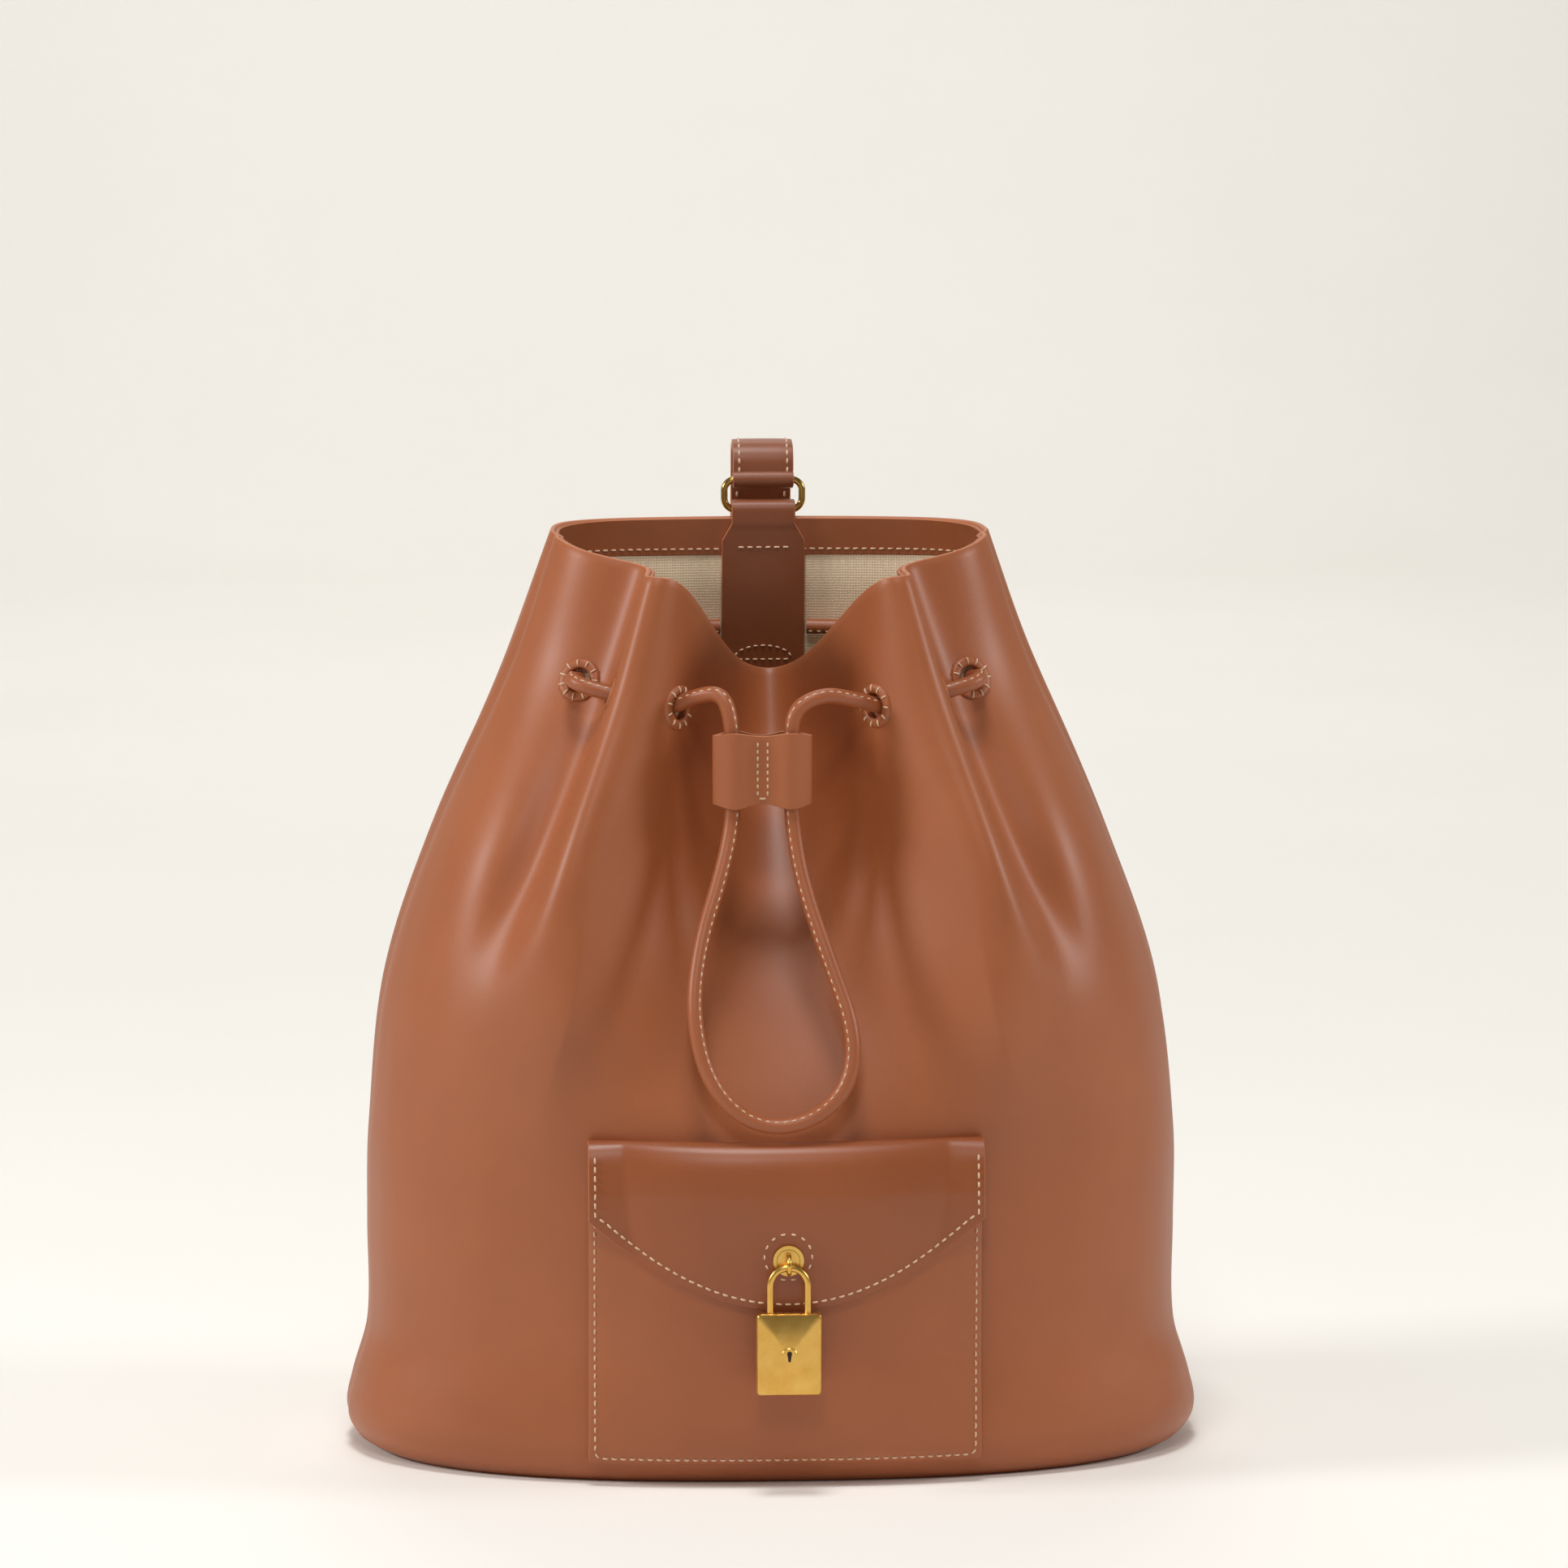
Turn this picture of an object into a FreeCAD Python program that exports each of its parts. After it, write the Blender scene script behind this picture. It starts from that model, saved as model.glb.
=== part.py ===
"""Leather drawstring bucket bag with a locked front pocket, a ring at the back of the rim and one strap.

Millimetres, +Z up, the front faces -Y and +X is to the right. The origin is the centre of the base, on the
plane that the bag stands on.
"""
import FreeCAD, Part
import math
import os

Vector = FreeCAD.Vector

# driving dimensions
LEATHER = 1.8
GAP = 0.3
CANVAS = 0.6
FACING_THICKNESS = 1.2
FACING_DEPTH = 13.0
ROUNDNESS = 2.4
LEAN = -1.5
CORD_DIAMETER = 5.4
EYELET_HOLE_RADIUS = 4.3
STRAP_WIDTH = 21.0
STRAP_THICKNESS = 3.2
POCKET_X = 1.0
POCKET_WIDTH = 134.0
POCKET_BOTTOM = 8.0
POCKET_TOP = 105.0
POCKET_GAP = 0.9
SNAP_Z = 82.5
POCKET_SWELL = 8.0
FLAP_TOP = 121.0
FLAP_SIDE = 94.0
FLAP_TIP = 64.0
FLAP_LIFT = 4.6
FLAP_EDGE_Y = -92.3
HINGE_Z = 114.0
LOCK_WIDTH = 22.0
LOCK_HEIGHT = 28.0
LOCK_THICKNESS = 6.0
LOCK_TOP = 64.2
LOCK_Y = -104.7
LOCK_PLATE = 0.8
PLUG_Z = 50.0
PLUG_RADIUS = 3.5
SHACKLE_WIRE = 1.15
SHACKLE_SPAN = 12.7
EYE_Z = 80.5
EYE_RADIUS = 2.9
EYE_WIRE = 0.8
STAPLE_Z = 81.5
SPRING_RADIUS = 0.62
RUNNING = 0.08
RING_WIRE = 1.2
RING_WIDTH = 30.0
RING_HEIGHT = 13.2
TAB_WIDTH = 29.0
LOOP_WIDTH = 22.0

# stations round half of the body, as angles from the front centre, then the body's rings from the base up
# as height, half width and half depth
ANGLES = [0, 7, 17, 27, 34, 40, 46, 57, 88, 118, 151, 180]
BODY = [
    (0, 138, 76), (4, 145, 81), (12, 149, 84.5), (24, 147, 84.5),
    (44, 141.5, 83.5), (78, 141, 85), (112, 140.5, 86.5),
]
# the gathered part: the same stations where the leather folds in, at four levels up to the rim.
# Station 0 is the floor of the front fold, 4 the crest of the pleat, 6 the outer fold, 8 the side seam
GATHERED = [
    [(0, -78, 147), (24, -80, 148), (45, -83.5, 152), (62, -86.5, 159), (77, -85.5, 164), (90, -78, 166),
     (100, -69, 166.5), (113, -57, 166), (135, -3, 164), (122, 44, 163), (73, 69, 161), (0, 76, 160)],
    [(0, -43, 190), (18, -46.5, 192), (35.5, -56.5, 198), (51.5, -70, 206), (65.5, -80.5, 210), (76.5, -78.5, 211),
     (80.5, -60, 212), (94, -54.5, 213), (117.5, -3, 215), (107, 40, 215), (64, 61, 215), (0, 67, 215)],
    [(0, -6, 235), (12, -13, 238), (23.5, -32, 250), (34, -53, 262), (48, -63.5, 267), (56.5, -60, 269),
     (57.2, -43, 270), (69, -33, 272), (90, -4, 277), (86, 33, 278), (50, 53, 278), (0, 57, 278)],
    [(0, 12, 270), (9, 6, 273), (18, -15, 284), (28, -42, 300), (37, -56.5, 308), (45, -54, 309),
     (44.5, -37.5, 310), (57, -28.5, 313), (75.5, -3, 319), (71, 33, 320), (41, 49, 320), (0, 52, 320)],
]
SEAM = 8
FRONT = range(0, 2 * SEAM + 1)
BACK = range(2 * SEAM, 2 * len(ANGLES) - 1)

# eyelets on the right half, as centre, outward direction and washer radius; the left half mirrors them.
# The second one lies in the outer fold, where the pleat hides it
EYELETS = [
    ((33.5, -52.6, 264.0), (-0.78, -0.57, 0.26), 7.4),
    ((57.6, -49.9, 268.9), (0.96, 0.15, 0.24), 5.6),
    ((67.9, -34.6, 271.7), (0.42, -0.89, 0.15), 7.4),
]

# the drawcord's route: from under the tab at the back to the right side and the eyelets, down through the
# slider, round the hanging loop, up through the slider and back the same way on the left
CORD_RIGHT = [
    (15.5, 50.5, 281.0), (45.0, 48.0, 280.5), (74.0, 31.0, 279.5), (83.0, 5.0, 278.0), (78.0, -14.0, 275.0),
    (65.7, -27.0, 270.6), (71.0, -42.0, 273.0), (66.5, -48.5, 271.0),
    (50.5, -51.0, 267.0), (39.0, -49.0, 262.5),
    (26.0, -58.0, 267.0), (15.0, -62.5, 269.5), (4.3, -64.9, 264.5), (3.9, -65.0, 250.0), (4.0, -65.2, 226.0),
]
CORD_LOOP = [
    (7.5, -72.0, 205.0), (16.0, -82.0, 180.0), (24.0, -91.0, 158.0),
    (22.5, -94.5, 141.0), (12.5, -95.0, 129.5),
    (-2.0, -95.2, 125.2), (-15.5, -94.8, 129.5), (-26.5, -94.0, 143.0), (-31.0, -90.0, 165.0),
    (-27.5, -80.5, 188.0), (-20.5, -72.0, 208.0),
]
CORD_LEFT = [
    (-16.0, -65.2, 226.0), (-15.9, -65.0, 245.0), (-16.4, -64.8, 261.0), (-19.5, -62.3, 270.0),
    (-28.0, -57.0, 268.6), (-39.0, -49.0, 262.5), (-50.5, -51.0, 267.0), (-66.5, -48.5, 271.0),
    (-71.0, -42.0, 273.0), (-65.7, -27.0, 270.6), (-78.0, -14.0, 275.0), (-83.0, 5.0, 278.0),
    (-74.0, 31.0, 279.5), (-45.0, 48.0, 280.5), (-15.5, 50.5, 281.0),
]

SLIDER_X = -6.0
SLIDER_Y = -65.0
CHANNELS = (4.0, -16.0)
SLIDER_WIDTH = 34.0
SLIDER_DEPTH = 10.4
SLIDER_LOW = 231.0
SLIDER_HIGH = 257.0
CHANNEL_RADIUS = 3.3

# rings, tabs and strap; the strap hangs along ALONG with OUT pointing away from the bag
RING_BAR = (50.45, 322.7)
UPPER_BAR = (50.45, RING_BAR[1] + RING_HEIGHT - 2 * RING_WIRE)
LOWER_BAR = (88.6, 25.0)
LOWER_RING_WIDTH = 30.0
LOWER_RING_HEIGHT = 13.4
TAB_INNER_Y = 46.6
TAB_OUTER_Y = 54.3
TAB_FOOT = 262.0
TAB_HEEL = 292.0
TAB_LEAN = 5.0 / 42.0
BUCKLE_WIDTH = 26.4
HOLES = (-44, -26, 32, 50)
STRAP_TOP = [(50.45, 335.4), (50.45, 345.6), (66.5, 345.6), (76.0, 290.0)]
ALONG = Vector(0, 0.1553, -0.9879)
OUT = Vector(0, 0.9879, 0.1553)
BUCKLE_TOP = Vector(0, 88.25, 212.0)
BUCKLE_LENGTH = 20.0
HEEL_DEPTH = -5.1
TOP_BAR_RISE = 3.1


def half_ring(level):
    if level >= len(BODY):
        return [Vector(*point) for point in GATHERED[level - len(BODY)]]
    height, half_width, half_depth = BODY[level]
    power = 2 / ROUNDNESS
    points = []
    for angle in ANGLES:
        across, along = math.sin(math.radians(angle)), math.cos(math.radians(angle))
        y = -half_depth * math.copysign(abs(along) ** power, along) + LEAN
        points.append(Vector(half_width * abs(across) ** power, y, height))
    return points


def ring(level):
    """One level all the way round, from the right seam across the front and the back to the right seam."""
    right = half_ring(level)
    left = [Vector(-point.x, point.y, point.z) for point in right]
    return right[SEAM::-1] + left[1:] + right[-2:SEAM - 1:-1]


def eased(before, start, end, after, share):
    """A point between start and end on a smooth curve that passes both and never swings wide."""
    step = (end - start).Length
    leave = (end - before) * (step / max((end - before).Length, step))
    arrive = (after - start) * (step / max((after - start).Length, step))
    square, cube = share ** 2, share ** 3
    return (start * (2 * cube - 3 * square + 1) + leave * (cube - 2 * square + share)
            + end * (3 * square - 2 * cube) + arrive * (cube - square))


def refined(rings, steps):
    """More rings between the given ones, so that every column is a smooth curve."""
    result = []
    for level in range(len(rings) - 1):
        around = [rings[max(level - 1, 0)], rings[level], rings[level + 1],
                  rings[min(level + 2, len(rings) - 1)]]
        for step in range(steps):
            result.append([eased(*points, step / steps) for points in zip(*around)])
    return result + [rings[-1]]


STEPS = 3
RINGS = refined([ring(level) for level in range(len(BODY) + len(GATHERED))], STEPS)
TOP = len(RINGS) - 1


def inward(column, level, depth):
    """The leather's outer point moved inwards by depth."""
    row = RINGS[level]
    last = len(row) - 1
    ahead = row[column + 1] if column < last else row[1]
    behind = row[column - 1] if column else row[last - 1]
    above = RINGS[min(level + 1, len(RINGS) - 1)][column]
    below = RINGS[max(level - 1, 0)][column]
    normal = (ahead - behind).cross(above - below)
    normal.normalize()
    return row[column] + normal * depth


def spacing_of(rows):
    """Where the columns lie along a row, as the mean of all rows."""
    spacing = [0.0]
    for column in range(1, len(rows[0])):
        step = sum((row[column] - row[column - 1]).Length for row in rows) / len(rows)
        spacing.append(spacing[-1] + step)
    return spacing


def lofted(rows, spacing):
    """A smooth surface through rows of points, every row a spline with the same spacing."""
    wires = []
    for row in rows:
        curve = Part.BSplineCurve()
        curve.interpolate(Points=row, Parameters=spacing)
        wires.append(Part.Wire([curve.toShape()]))
    return Part.makeLoft(wires, False, False).Faces[0]


def middle(edge):
    return edge.valueAt((edge.FirstParameter + edge.LastParameter) / 2)


def sheet(outer_rows, inner_rows, spacing=None):
    """A closed solid between two lofted surfaces with the same rows."""
    spacing = spacing or spacing_of(outer_rows)
    outer, inner = lofted(outer_rows, spacing), lofted(inner_rows, spacing)
    faces = [outer, inner]
    for edge in outer.OuterWire.Edges:
        centre = middle(edge)
        partner = min(inner.OuterWire.Edges, key=lambda other: (middle(other) - centre).Length)
        faces += Part.makeRuledSurface(edge, partner).Faces
    shell = Part.makeShell(faces)
    shell.sewShape()
    solid = Part.makeSolid(shell.Shells[0])
    if solid.Volume < 0:
        solid.reverse()
    return solid


def wall_spacing(columns):
    return spacing_of([[row[column] for column in columns] for row in RINGS])


def layer(columns, near, far):
    """A layer of the body's wall between two depths below the outer surface."""
    levels = range(len(RINGS))
    outer = [[inward(column, level, near) for column in columns] for level in levels]
    inner = [[inward(column, level, far) for column in columns] for level in levels]
    return sheet(outer, inner, wall_spacing(columns))


def down_the_leather(column, depth, drop):
    """A point a distance below the rim, measured down the leather."""
    top = inward(column, TOP, depth)
    below = inward(column, TOP - 1, depth)
    return top + (below - top) * (drop / (below - top).Length)


def along_rim(columns, near, far, start, end):
    """A band below the rim between two distances from it, measured down the leather."""
    faces = []
    for depth in (near, far):
        rows = []
        for drop in (start, (start + end) / 2, end):
            rows.append([down_the_leather(column, depth, drop) for column in columns])
        faces.append(rows)
    return sheet(*faces, wall_spacing(columns))


def trimmed_layer(columns, near, far, drop):
    """A layer that stops a distance below the rim and starts above the base board."""
    rows_by_depth = []
    for depth in (near, far):
        rows = [[inward(column, level, depth) for column in columns] for level in range(STEPS + 1, TOP - 1)]
        rows.append([down_the_leather(column, depth, drop) for column in columns])
        rows_by_depth.append(rows)
    return sheet(*rows_by_depth, wall_spacing(columns))


def mirrored(shape):
    return shape.mirror(Vector(0, 0, 0), Vector(1, 0, 0))


def eyelet_places():
    """Centre, outward direction and washer radius of all six eyelets."""
    places = []
    for centre, outward, radius in EYELETS:
        for side in (1, -1):
            direction = Vector(side * outward[0], outward[1], outward[2])
            direction.normalize()
            places.append((Vector(side * centre[0], centre[1], centre[2]), direction, radius))
    return places


def eyelet_bores():
    return [
        Part.makeCylinder(EYELET_HOLE_RADIUS, 16, centre - direction * 9, direction)
        for centre, direction, _ in eyelet_places()
    ]


def eyelet_washers(panel):
    """Stitched leather rings round the holes, laid on the panel's outside."""
    rings = []
    for centre, direction, radius in eyelet_places():
        blank = Part.makeCylinder(radius, 4.0, centre - direction * 2.2, direction)
        bore = Part.makeCylinder(EYELET_HOLE_RADIUS, 8, centre - direction * 4, direction)
        washer = blank.cut(bore).cut(panel)
        outside = max(washer.Solids, key=lambda solid: (solid.CenterOfMass - centre).dot(direction))
        rings.append(outside)
    return Part.makeCompound(rings)


def box(low, high):
    size = [high[n] - low[n] for n in range(3)]
    return Part.makeBox(*size, Vector(*low))


def centred_box(centre, size):
    low = [centre[n] - size[n] / 2 for n in range(3)]
    return Part.makeBox(*size, Vector(*low))


def oval_plate(half_width, half_depth, low, thickness, count=48):
    """A flat plate with the base's rounded outline."""
    power = 2 / ROUNDNESS
    points = []
    for step in range(count):
        angle = 2 * math.pi * step / count
        across, along = math.cos(angle), math.sin(angle)
        x = half_width * math.copysign(abs(across) ** power, across)
        y = half_depth * math.copysign(abs(along) ** power, along) + LEAN
        points.append(Vector(x, y, low))
    curve = Part.BSplineCurve()
    curve.interpolate(Points=points, PeriodicFlag=True)
    face = Part.Face(Part.Wire([curve.toShape()]))
    return face.extrude(Vector(0, 0, thickness))


def rounded_path(points, radii):
    """Straight runs joined by tangent arcs, one radius for each inner point."""
    edges = []
    start = points[0]
    for before, corner, after, radius in zip(points, points[1:], points[2:], radii):
        back = (before - corner).normalize()
        on = (after - corner).normalize()
        half_turn = (math.pi - back.getAngle(on)) / 2
        reach = radius * math.tan(half_turn)
        enter, leave = corner + back * reach, corner + on * reach
        bisector = (back + on).normalize()
        centre = corner + bisector * (radius / math.cos(half_turn))
        through = centre - bisector * radius
        edges.append(Part.LineSegment(start, enter).toShape())
        edges.append(Part.Arc(enter, through, leave).toShape())
        start = leave
    edges.append(Part.LineSegment(start, points[-1]).toShape())
    return Part.Wire(edges)


def cord_radii(points):
    """The largest arcs that the runs beside each inner point allow."""
    radii = []
    for before, corner, after in zip(points, points[1:], points[2:]):
        back, on = before - corner, after - corner
        half_turn = (math.pi - back.getAngle(on)) / 2
        radii.append(0.45 * min(back.Length, on.Length) / math.tan(half_turn))
    return radii


def tube(points, diameter):
    radii = cord_radii(points)
    path = rounded_path(points, radii)
    direction = points[1] - points[0]
    circle = Part.makeCircle(diameter / 2, points[0], direction)
    solid = path.makePipeShell([Part.Wire([circle])], True, True)
    print("radii", [round(radius, 1) for radius in radii])
    wanted = math.pi * diameter ** 2 / 4 * path.Length
    print("length", round(path.Length, 1), "volume", round(solid.Volume), "of", round(wanted))
    return solid


def band(points, radii, width, thickness, x=0.0):
    """A flat strip that follows a path in the YZ plane."""
    places = [Vector(x, y, z) for y, z in points]
    path = rounded_path(places, radii)
    along = (places[1] - places[0]).normalize()
    out = along.cross(Vector(1, 0, 0))
    side = Vector(width / 2, 0, 0)
    rise = out * (thickness / 2)
    corners = [places[0] + side + rise, places[0] - side + rise,
               places[0] - side - rise, places[0] + side - rise]
    profile = Part.makePolygon(corners + corners[:1])
    return path.makePipeShell([profile], True, True)


# ---------------------------------------------------------------- body

def body_parts():
    bores = eyelet_bores()
    front = layer(FRONT, 0, LEATHER)
    lining_near = LEATHER + GAP
    facing_near = LEATHER + 1.5 * GAP
    front = front.cut(Part.makeCompound(bores))
    linings, facings = [], []
    for columns in (FRONT, BACK):
        lining = trimmed_layer(columns, lining_near, lining_near + CANVAS, FACING_DEPTH + 1)
        facing = along_rim(columns, facing_near, facing_near + FACING_THICKNESS, 0, FACING_DEPTH)
        linings.append(lining)
        facings.append(facing)
    linings[0] = linings[0].cut(Part.makeCompound(bores))
    return {
        "front_panel": front,
        "back_panel": layer(BACK, 0, LEATHER),
        "front_lining": linings[0],
        "back_lining": linings[1],
        "front_rim_facing": facings[0],
        "back_rim_facing": facings[1],
        "base_panel": oval_plate(134.5, 72.5, 0, 2.0),
        "base_board": oval_plate(133.5, 71.5, 2.3, 2.2),
        "base_lining": oval_plate(136, 74, 4.8, 0.6),
    }


# ---------------------------------------------------------------- pocket

def belly_front(x, height):
    """Y of the body's front at a height on the belly."""
    below = max(level for level in BODY if level[0] <= height) if height < BODY[-1][0] else BODY[-1]
    above = next((level for level in BODY if level[0] > height), None)
    if above is None:
        half_width, half_depth = below[1], below[2]
    else:
        share = (height - below[0]) / (above[0] - below[0])
        half_width = below[1] + share * (above[1] - below[1])
        half_depth = below[2] + share * (above[2] - below[2])
    return LEAN - half_depth * (1 - (abs(x) / half_width) ** ROUNDNESS) ** (1 / ROUNDNESS)


def swell(across, up):
    """How far the pocket stands off the body, across and up from 0 to 1."""
    return POCKET_SWELL * math.sin(math.pi * across) ** 0.6 * math.sin(math.pi / 2 * up) ** 0.6


def pocket_share(x, height):
    """A place on the pocket as shares of its width and height, both from 0 to 1."""
    across = (x - POCKET_X) / POCKET_WIDTH + 0.5
    up = (height - POCKET_BOTTOM) / (POCKET_TOP - POCKET_BOTTOM)
    return min(max(across, 0.0), 1.0), min(up, 1.0)


def pocket_back(x, height):
    """Y of the pocket's inner face."""
    return belly_front(x, height) - POCKET_GAP - swell(*pocket_share(x, height))


def pocket_rows(offset, columns=13, rows=9):
    result = []
    for row in range(rows):
        up = row / (rows - 1)
        height = POCKET_BOTTOM + up * (POCKET_TOP - POCKET_BOTTOM)
        line = []
        for column in range(columns):
            across = column / (columns - 1)
            x = POCKET_X + (across - 0.5) * POCKET_WIDTH
            line.append(Vector(x, pocket_back(x, height) - offset, height))
        result.append(line)
    return result


def flap_back(x, height):
    """Y of the flap's inner face."""
    return min(belly_front(x, height) - FLAP_LIFT - swell(*pocket_share(x, height)), FLAP_EDGE_Y)


def flap_rows(offset, columns=13, rows=9):
    """The flap's front sheet, from its fold at the top to the curved lower edge."""
    result = []
    for row in range(rows):
        down = row / (rows - 1)
        line = []
        for column in range(columns):
            across = 2 * column / (columns - 1) - 1
            x = POCKET_X + across * POCKET_WIDTH / 2
            low = FLAP_TIP + (FLAP_SIDE - FLAP_TIP) * across ** 2
            height = HINGE_Z + down * (low - HINGE_Z)
            line.append(Vector(x, flap_back(x, height) - offset, height))
        result.append(line)
    return result


def fold_rows(inner, columns=13):
    """The fold above the flap, from the body over the top to just above the hinge line."""
    result = []
    for share, height in ((0, 118.4), (0.35, 120.8), (0.8, 120.8), (1.0, 118.6), (1.0, HINGE_Z + 1.4)):
        line = []
        for column in range(columns):
            x = POCKET_X + (column / (columns - 1) - 0.5) * POCKET_WIDTH
            start = belly_front(x, HINGE_Z) - 0.4
            front = flap_back(x, HINGE_Z) - LEATHER
            y = start + share * (front - start) + (LEATHER if inner and share == 1.0 else 0)
            drop = LEATHER if inner and height > HINGE_Z + 2 else 0
            line.append(Vector(x, y, height - drop))
        result.append(line)
    return result


def pocket_parts():
    panel = sheet(pocket_rows(LEATHER), pocket_rows(0))
    flap = sheet(flap_rows(LEATHER), flap_rows(0))
    fold = sheet(fold_rows(False), fold_rows(True))
    back = Vector(0, 1, 0)
    flap_face = flap_back(POCKET_X, SNAP_Z)
    pocket_face = pocket_back(POCKET_X, SNAP_Z)
    stud = Part.makeCylinder(4.5, 0.9, Vector(POCKET_X, flap_face + 0.4, SNAP_Z), back)
    socket = Part.makeCylinder(5.0, 1.4, Vector(POCKET_X, pocket_face + 0.5, SNAP_Z), back)
    return {"pocket_panel": panel, "pocket_flap": flap, "flap_fold": fold,
            "snap_stud": stud, "snap_socket": socket}


# ---------------------------------------------------------------- padlock

def lock_parts():
    face = flap_back(POCKET_X, SNAP_Z) - LEATHER
    toward = Vector(0, -1, 0)
    washer = Part.makeCylinder(5.2, 1.3, Vector(POCKET_X, face - 0.4, STAPLE_Z), toward)
    seat = Part.makeCylinder(3.95, 1.6, Vector(POCKET_X, face - 0.4, STAPLE_Z), toward)
    rosette = washer.cut(seat)
    eye = Part.makeTorus(EYE_RADIUS, EYE_WIRE, Vector(POCKET_X, LOCK_Y, EYE_Z), Vector(1, 0, 0))
    base = Part.makeCylinder(3.8, 1.5, Vector(POCKET_X, face - 0.3, STAPLE_Z), toward)
    stem_start = Vector(POCKET_X, face - 0.3, STAPLE_Z - 0.5)
    stem = Part.makeCylinder(1.0, abs(LOCK_Y - face) - 2.2, stem_start, toward)
    staple = eye.fuse([base, stem])

    left = POCKET_X - SHACKLE_SPAN / 2
    right = POCKET_X + SHACKLE_SPAN / 2
    bend = EYE_Z - 0.9 - SHACKLE_SPAN / 2
    short_end, long_end = LOCK_TOP - 4.5, LOCK_TOP - 20.0
    path = Part.Wire([
        Part.LineSegment(Vector(left, LOCK_Y, short_end), Vector(left, LOCK_Y, bend)).toShape(),
        Part.Arc(Vector(left, LOCK_Y, bend), Vector(POCKET_X, LOCK_Y, bend + SHACKLE_SPAN / 2),
                 Vector(right, LOCK_Y, bend)).toShape(),
        Part.LineSegment(Vector(right, LOCK_Y, bend), Vector(right, LOCK_Y, long_end)).toShape(),
    ])
    circle = Part.makeCircle(SHACKLE_WIRE, Vector(left, LOCK_Y, short_end), Vector(0, 0, 1))
    shackle = path.makePipeShell([Part.Wire([circle])], True, True)
    notch_x = left + 0.2
    notch = Part.makePolygon([
        Vector(notch_x, LOCK_Y - 2, LOCK_TOP - 1.5), Vector(notch_x, LOCK_Y - 2, LOCK_TOP - 3.4),
        Vector(notch_x + 0.3, LOCK_Y - 2, short_end - 0.2), Vector(left + 2, LOCK_Y - 2, short_end - 0.2),
        Vector(left + 2, LOCK_Y - 2, LOCK_TOP - 1.5), Vector(notch_x, LOCK_Y - 2, LOCK_TOP - 1.5)])
    shackle = shackle.cut(Part.Face(notch).extrude(Vector(0, 4, 0)))

    front = LOCK_Y - LOCK_THICKNESS / 2
    back = LOCK_Y + LOCK_THICKNESS / 2
    low_x, high_x = POCKET_X - LOCK_WIDTH / 2, POCKET_X + LOCK_WIDTH / 2
    bottom = LOCK_TOP - LOCK_HEIGHT
    case = box((low_x, front, bottom), (high_x, back - LOCK_PLATE, LOCK_TOP))
    case = case.makeFillet(0.5, [edge for edge in case.Edges if abs(middle(edge).y - front) < 0.01])
    bore = SHACKLE_WIRE + RUNNING
    cuts = [
        Part.makeCylinder(bore, 6.0, Vector(left, LOCK_Y, LOCK_TOP - 5.5), Vector(0, 0, 1)),
        Part.makeCylinder(bore, 25.5, Vector(right, LOCK_Y, LOCK_TOP - 25.0), Vector(0, 0, 1)),
        Part.makeCylinder(PLUG_RADIUS + RUNNING, 8, Vector(POCKET_X, front - 1, PLUG_Z), Vector(0, 1, 0)),
        box((left, LOCK_Y - 1.1, LOCK_TOP - 3.6), (POCKET_X + 4.9, back, LOCK_TOP - 1.4)),
    ]
    case = case.cut(Part.makeCompound(cuts))
    plate_front = back - LOCK_PLATE + 0.02
    back_plate = box((low_x + 0.3, plate_front, bottom + 0.3), (high_x - 0.3, back, LOCK_TOP - 0.3))
    plug_length = LOCK_THICKNESS - LOCK_PLATE - 0.3
    plug = Part.makeCylinder(PLUG_RADIUS, plug_length, Vector(POCKET_X, front, PLUG_Z), Vector(0, 1, 0))
    keyhole = Part.makeCylinder(0.9, 3.5, Vector(POCKET_X, front - 0.5, PLUG_Z + 1.2), Vector(0, 1, 0))
    slot = box((POCKET_X - 0.4, front - 0.5, PLUG_Z - 2.2), (POCKET_X + 0.4, front + 3.0, PLUG_Z + 1.2))
    plug = plug.cut(keyhole.fuse(slot))
    latch_low, latch_high = LOCK_TOP - 3.3, LOCK_TOP - 1.7
    latch = box((notch_x + 0.06, LOCK_Y - 0.9, latch_low), (POCKET_X + 0.6, LOCK_Y + 0.9, latch_high))
    latch_middle = (latch_low + latch_high) / 2
    tail = Part.makeCylinder(0.35, 2.4, Vector(POCKET_X + 0.6, LOCK_Y, latch_middle), Vector(1, 0, 0))
    latch = latch.fuse(tail)
    coil = Part.makeHelix(SPRING_RADIUS, 2.6, SPRING_RADIUS)
    wire_profile = Part.Wire([Part.makeCircle(0.15, Vector(SPRING_RADIUS, 0, 0), Vector(0, 1, 0))])
    spring = Part.Wire(coil.Edges).makePipeShell([wire_profile], True, True)
    spring.rotate(Vector(0, 0, 0), Vector(0, 1, 0), 90)
    spring.translate(Vector(POCKET_X + 2.0, LOCK_Y, latch_middle))
    return {"flap_rosette": rosette, "lock_staple": staple, "lock_shackle": shackle, "lock_case": case,
            "lock_back_plate": back_plate, "lock_plug": plug, "lock_latch": latch, "latch_spring": spring}


# ---------------------------------------------------------------- drawcord and slider

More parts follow.
